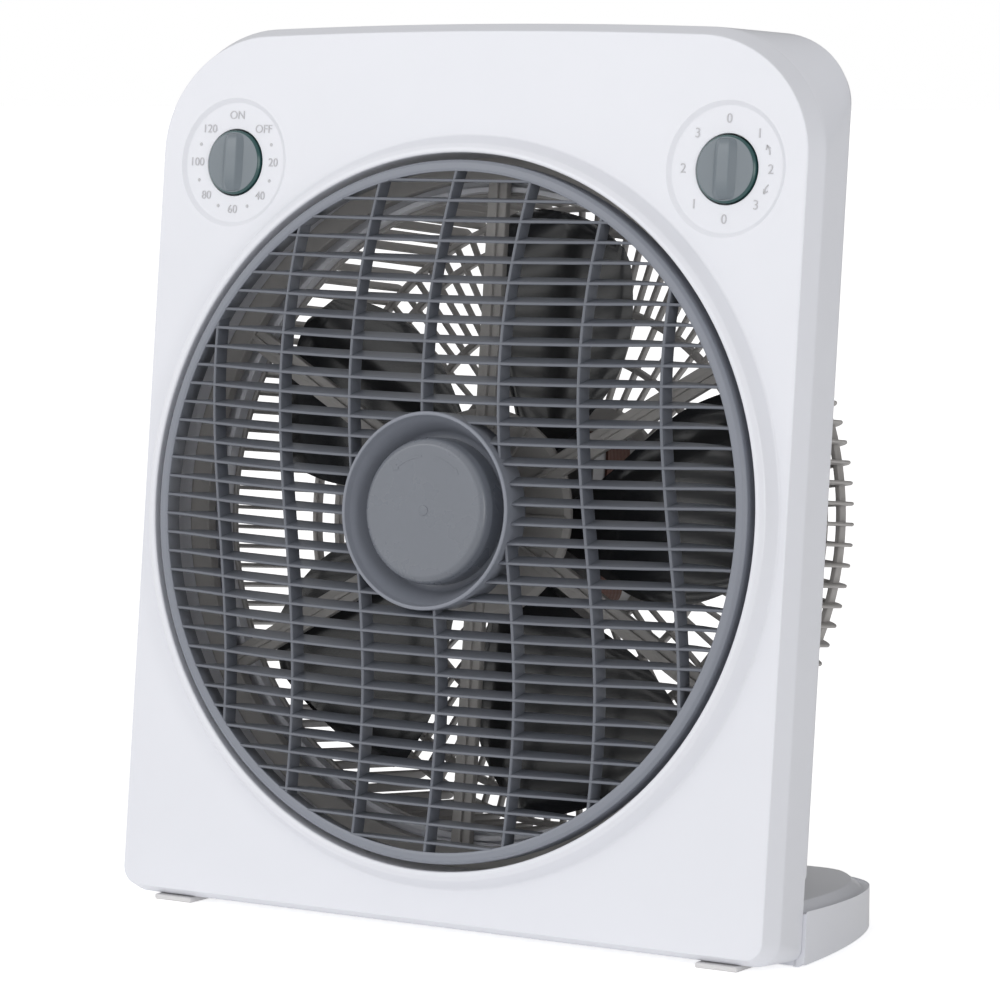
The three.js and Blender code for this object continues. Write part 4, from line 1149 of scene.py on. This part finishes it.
def stand_plan(inset):
    """The stand's plan, drawn a given distance inside its widest outline."""
    side = STAND_HALF - inset
    back = STAND_BACK - inset
    middle = STAND_MIDDLE - inset
    front = STAND_FRONT - 10 + inset
    lobe = STAND_LOBE
    right = [
        [(side, front), (side - 1, front + 55), (side - 13, back - 34), (side - 28, back - 15)],
        [(side - 28, back - 15), (side - 36, back - 5), (lobe + 12, back), (lobe, back)],
        [(lobe, back), (lobe * 0.72, back), (lobe * 0.5, middle), (0, middle)],
    ]
    points = []
    for curve in right:
        points += bezier(*[Vector(p) for p in curve], 16)
    points.append(Vector((0, middle)))
    return points + [Vector((-p.x, p.y)) for p in reversed(points[:-1])]


def closed_loft(rings):
    """A closed solid through rings of points, with its ends filled."""
    bm = bmesh.new()
    loops = [[bm.verts.new(p) for p in ring] for ring in rings]
    for low, high in zip(loops, loops[1:]):
        bridge(bm, low, high)
    for loop in (loops[0], loops[-1]):
        fill_flat(bm, loop)
    return bm


def combined(base, others):
    """The base object's mesh after joining or cutting with each (operation, object)."""
    scene.collection.objects.link(base)
    for operation, other in others:
        scene.collection.objects.link(other)
        modifier = base.modifiers.new(operation, "BOOLEAN")
        modifier.operation = operation
        modifier.object = other
        modifier.solver = "EXACT"
    bpy.context.view_layer.update()
    evaluated = base.evaluated_get(bpy.context.evaluated_depsgraph_get())
    mesh = bpy.data.meshes.new_from_object(evaluated)
    for item in [base] + [other for _, other in others]:
        bpy.data.objects.remove(item)
    return mesh


def stand_ring(inset, height):
    """The stand's plan as points, at the height that a function of y gives."""
    return [Vector((p.x, p.y, height(p.y))) for p in stand_plan(inset)]


def level(height):
    return lambda y: height


def below_top(height):
    return lambda y: stand_top(y) + height


def build_stand():
    """The stand: a hollow shoe cut along the shell's seam, with two rear blocks and a lip."""
    profile = rounded([
        (4, 0.8, 0), (3, 0.8, 0.8), (0, 3.8, 2.2), (0, -7.2, 1.4), (6.8, 0, 1.4), (11, 0, 0),
    ], steps=5)
    lower_half = len(profile) // 2
    outer = []
    for k, (inset, height) in enumerate(profile):
        heights = level(height) if k < lower_half else below_top(height)
        outer.append(stand_ring(inset, heights))
    inner = [
        stand_ring(6.2, level(-2)), stand_ring(5.6, level(2)),
        stand_ring(2.6, below_top(-8)), stand_ring(8, below_top(-2.6)),
    ]
    base = to_object(closed_loft(outer), "stand_outer", FLOOR)
    hollow = to_object(closed_loft(inner), "stand_inner", FLOOR)
    ahead = bmesh.new()
    block(ahead, (0, STAND_SEAM - 50, -PANEL_TO_FLOOR), (500, 100, 300), 0.01, steps=1)
    ahead = to_object(ahead, "stand_ahead", PANEL)
    bm = bmesh.new()
    mesh = combined(base, [("DIFFERENCE", hollow), ("DIFFERENCE", ahead)])
    bm.from_mesh(mesh)
    bpy.data.meshes.remove(mesh)
    bm.transform(FLOOR.inverted())
    for x in (-138, 138):
        block(bm, (x, 122, 13.3), (22, 16, 20), 0.5)
    lip = stand_lip()
    lip.transform(FLOOR.inverted() @ PANEL)
    extra = bpy.data.meshes.new("lip")
    lip.to_mesh(extra)
    lip.free()
    bm.from_mesh(extra)
    bpy.data.meshes.remove(extra)
    finish_piece(bm, "stand_moulding", "housing", "housing_white", ["stand_base"], FLOOR, sharp=28)


def stand_lip():
    """The upright lip along the seam, which curves down to the stand's side at each end."""
    bm = bmesh.new()
    half = HALF_WIDTH - REAR_INSET
    low = STAND_SEAM * math.tan(lean) + 1.2 - PANEL_TO_FLOOR
    top = LIP_TOP - PANEL_TO_FLOOR
    crest = rounded([
        (half, low, 0), (half, top, 3.5), (-half, top, 3.5), (-half, low, 0),
    ], steps=8)
    sections = []
    for set_back, inset in ((0, 0.5), (0.5, 0), (3.3, 0), (4, 0.7)):
        section = []
        for u, v in crest:
            drop = inset if v > low + 1 else 0
            section.append(Vector((u - math.copysign(inset, u), STAND_SEAM + set_back, v - drop)))
        sections.append(section)
    sweep(bm, sections)
    return bm


def build_feet():
    for name in ("front_foot_left", "front_foot_right", "rear_foot_left", "rear_foot_right"):
        low, high = extent(name, FLOOR)
        bm = bmesh.new()
        block(bm, (low + high) / 2, high - low, 0.8, steps=3)
        finish_piece(bm, name + "_pad", "housing", "foot_rubber", [name], FLOOR)


# ---- Studio ----

LIGHT_AIM = Vector((0, 0, 0.2))
BRIGHTEST_SIDE = Vector((-0.6, -0.8, 0.06))
FLOOR_REACH = 40


def area_light(name, place, size, power):
    data = bpy.data.lights.new(name, "AREA")
    data.shape = "RECTANGLE"
    data.size, data.size_y = size
    data.energy = power
    light = bpy.data.objects.new(name, data)
    scene.collection.objects.link(light)
    light.location = place
    light.rotation_euler = (Vector(place) - LIGHT_AIM).to_track_quat("Z", "Y").to_euler()


def studio_world():
    """Soft white light, strong from the front left and weak from behind, on a white backdrop."""
    world = bpy.data.worlds.new("studio")
    scene.world = world
    world.use_nodes = True
    nodes, links = world.node_tree.nodes, world.node_tree.links
    direction = nodes.new("ShaderNodeTexCoord")
    facing = nodes.new("ShaderNodeVectorMath")
    facing.operation = "DOT_PRODUCT"
    facing.inputs[1].default_value = BRIGHTEST_SIDE.normalized()
    fade = nodes.new("ShaderNodeMapRange")
    fade.inputs["From Min"].default_value = -0.75
    fade.inputs["From Max"].default_value = 0.9
    fade.inputs["To Min"].default_value = 0.1
    fade.inputs["To Max"].default_value = 1.12
    background = nodes["Background"]
    background.inputs["Color"].default_value = (1, 1, 1, 1)
    backdrop = nodes.new("ShaderNodeBackground")
    backdrop.inputs["Color"].default_value = (1, 1, 1, 1)
    backdrop.inputs["Strength"].default_value = 1.0
    rays = nodes.new("ShaderNodeLightPath")
    mix = nodes.new("ShaderNodeMixShader")
    links.new(direction.outputs["Generated"], facing.inputs[0])
    links.new(facing.outputs["Value"], fade.inputs["Value"])
    links.new(fade.outputs["Result"], background.inputs["Strength"])
    links.new(rays.outputs["Is Camera Ray"], mix.inputs["Fac"])
    links.new(background.outputs["Background"], mix.inputs[1])
    links.new(backdrop.outputs["Background"], mix.inputs[2])
    links.new(mix.outputs["Shader"], nodes["World Output"].inputs["Surface"])


def build_floor():
    """A white floor that shines a little, and looks white where the camera sees it."""
    bm = bmesh.new()
    bmesh.ops.create_grid(bm, x_segments=8, y_segments=8, size=FLOOR_REACH)
    mesh = bpy.data.meshes.new("floor")
    bm.to_mesh(mesh)
    bm.free()
    floor = bpy.data.objects.new("floor", mesh)
    scene.collection.objects.link(floor)
    paper = plastic("floor_paper", (0.92, 0.92, 0.92), 0.9, spread=0.005)
    nodes = paper.node_tree.nodes
    rays = nodes.new("ShaderNodeLightPath")
    glow = nodes.new("ShaderNodeMapRange")
    glow.inputs["To Min"].default_value = 0.2
    glow.inputs["To Max"].default_value = 0.62
    paper.node_tree.links.new(rays.outputs["Is Camera Ray"], glow.inputs["Value"])
    shader = nodes["Principled BSDF"]
    shader.inputs["Emission Color"].default_value = (1, 1, 1, 1)
    paper.node_tree.links.new(glow.outputs["Result"], shader.inputs["Emission Strength"])
    mesh.materials.append(paper)


def build_studio():
    scene.view_settings.view_transform = "Standard"
    studio_world()
    build_floor()
    area_light("key", (-1.5, -2.1, 1.3), (1.2, 1.2), 6.5)
    area_light("right", (2.5, -1.35, 0.7), (0.7, 1.6), 13)


dress_frame()
build_front_shell()
build_rear_shell()
build_dial_marks()
build_knob("timer_knob", "timer_dial", -DIAL_X)
build_knob("speed_knob", "speed_dial", DIAL_X)
build_grille()
build_cap()
build_bracket()
build_impeller()
build_nut()
build_guard()
for group, count in (("case_screw_", 6), ("guard_screw_", 4)):
    for k in range(count):
        build_screw(group + str(k + 1))
build_gland()
build_stand()
build_feet()
build_studio()
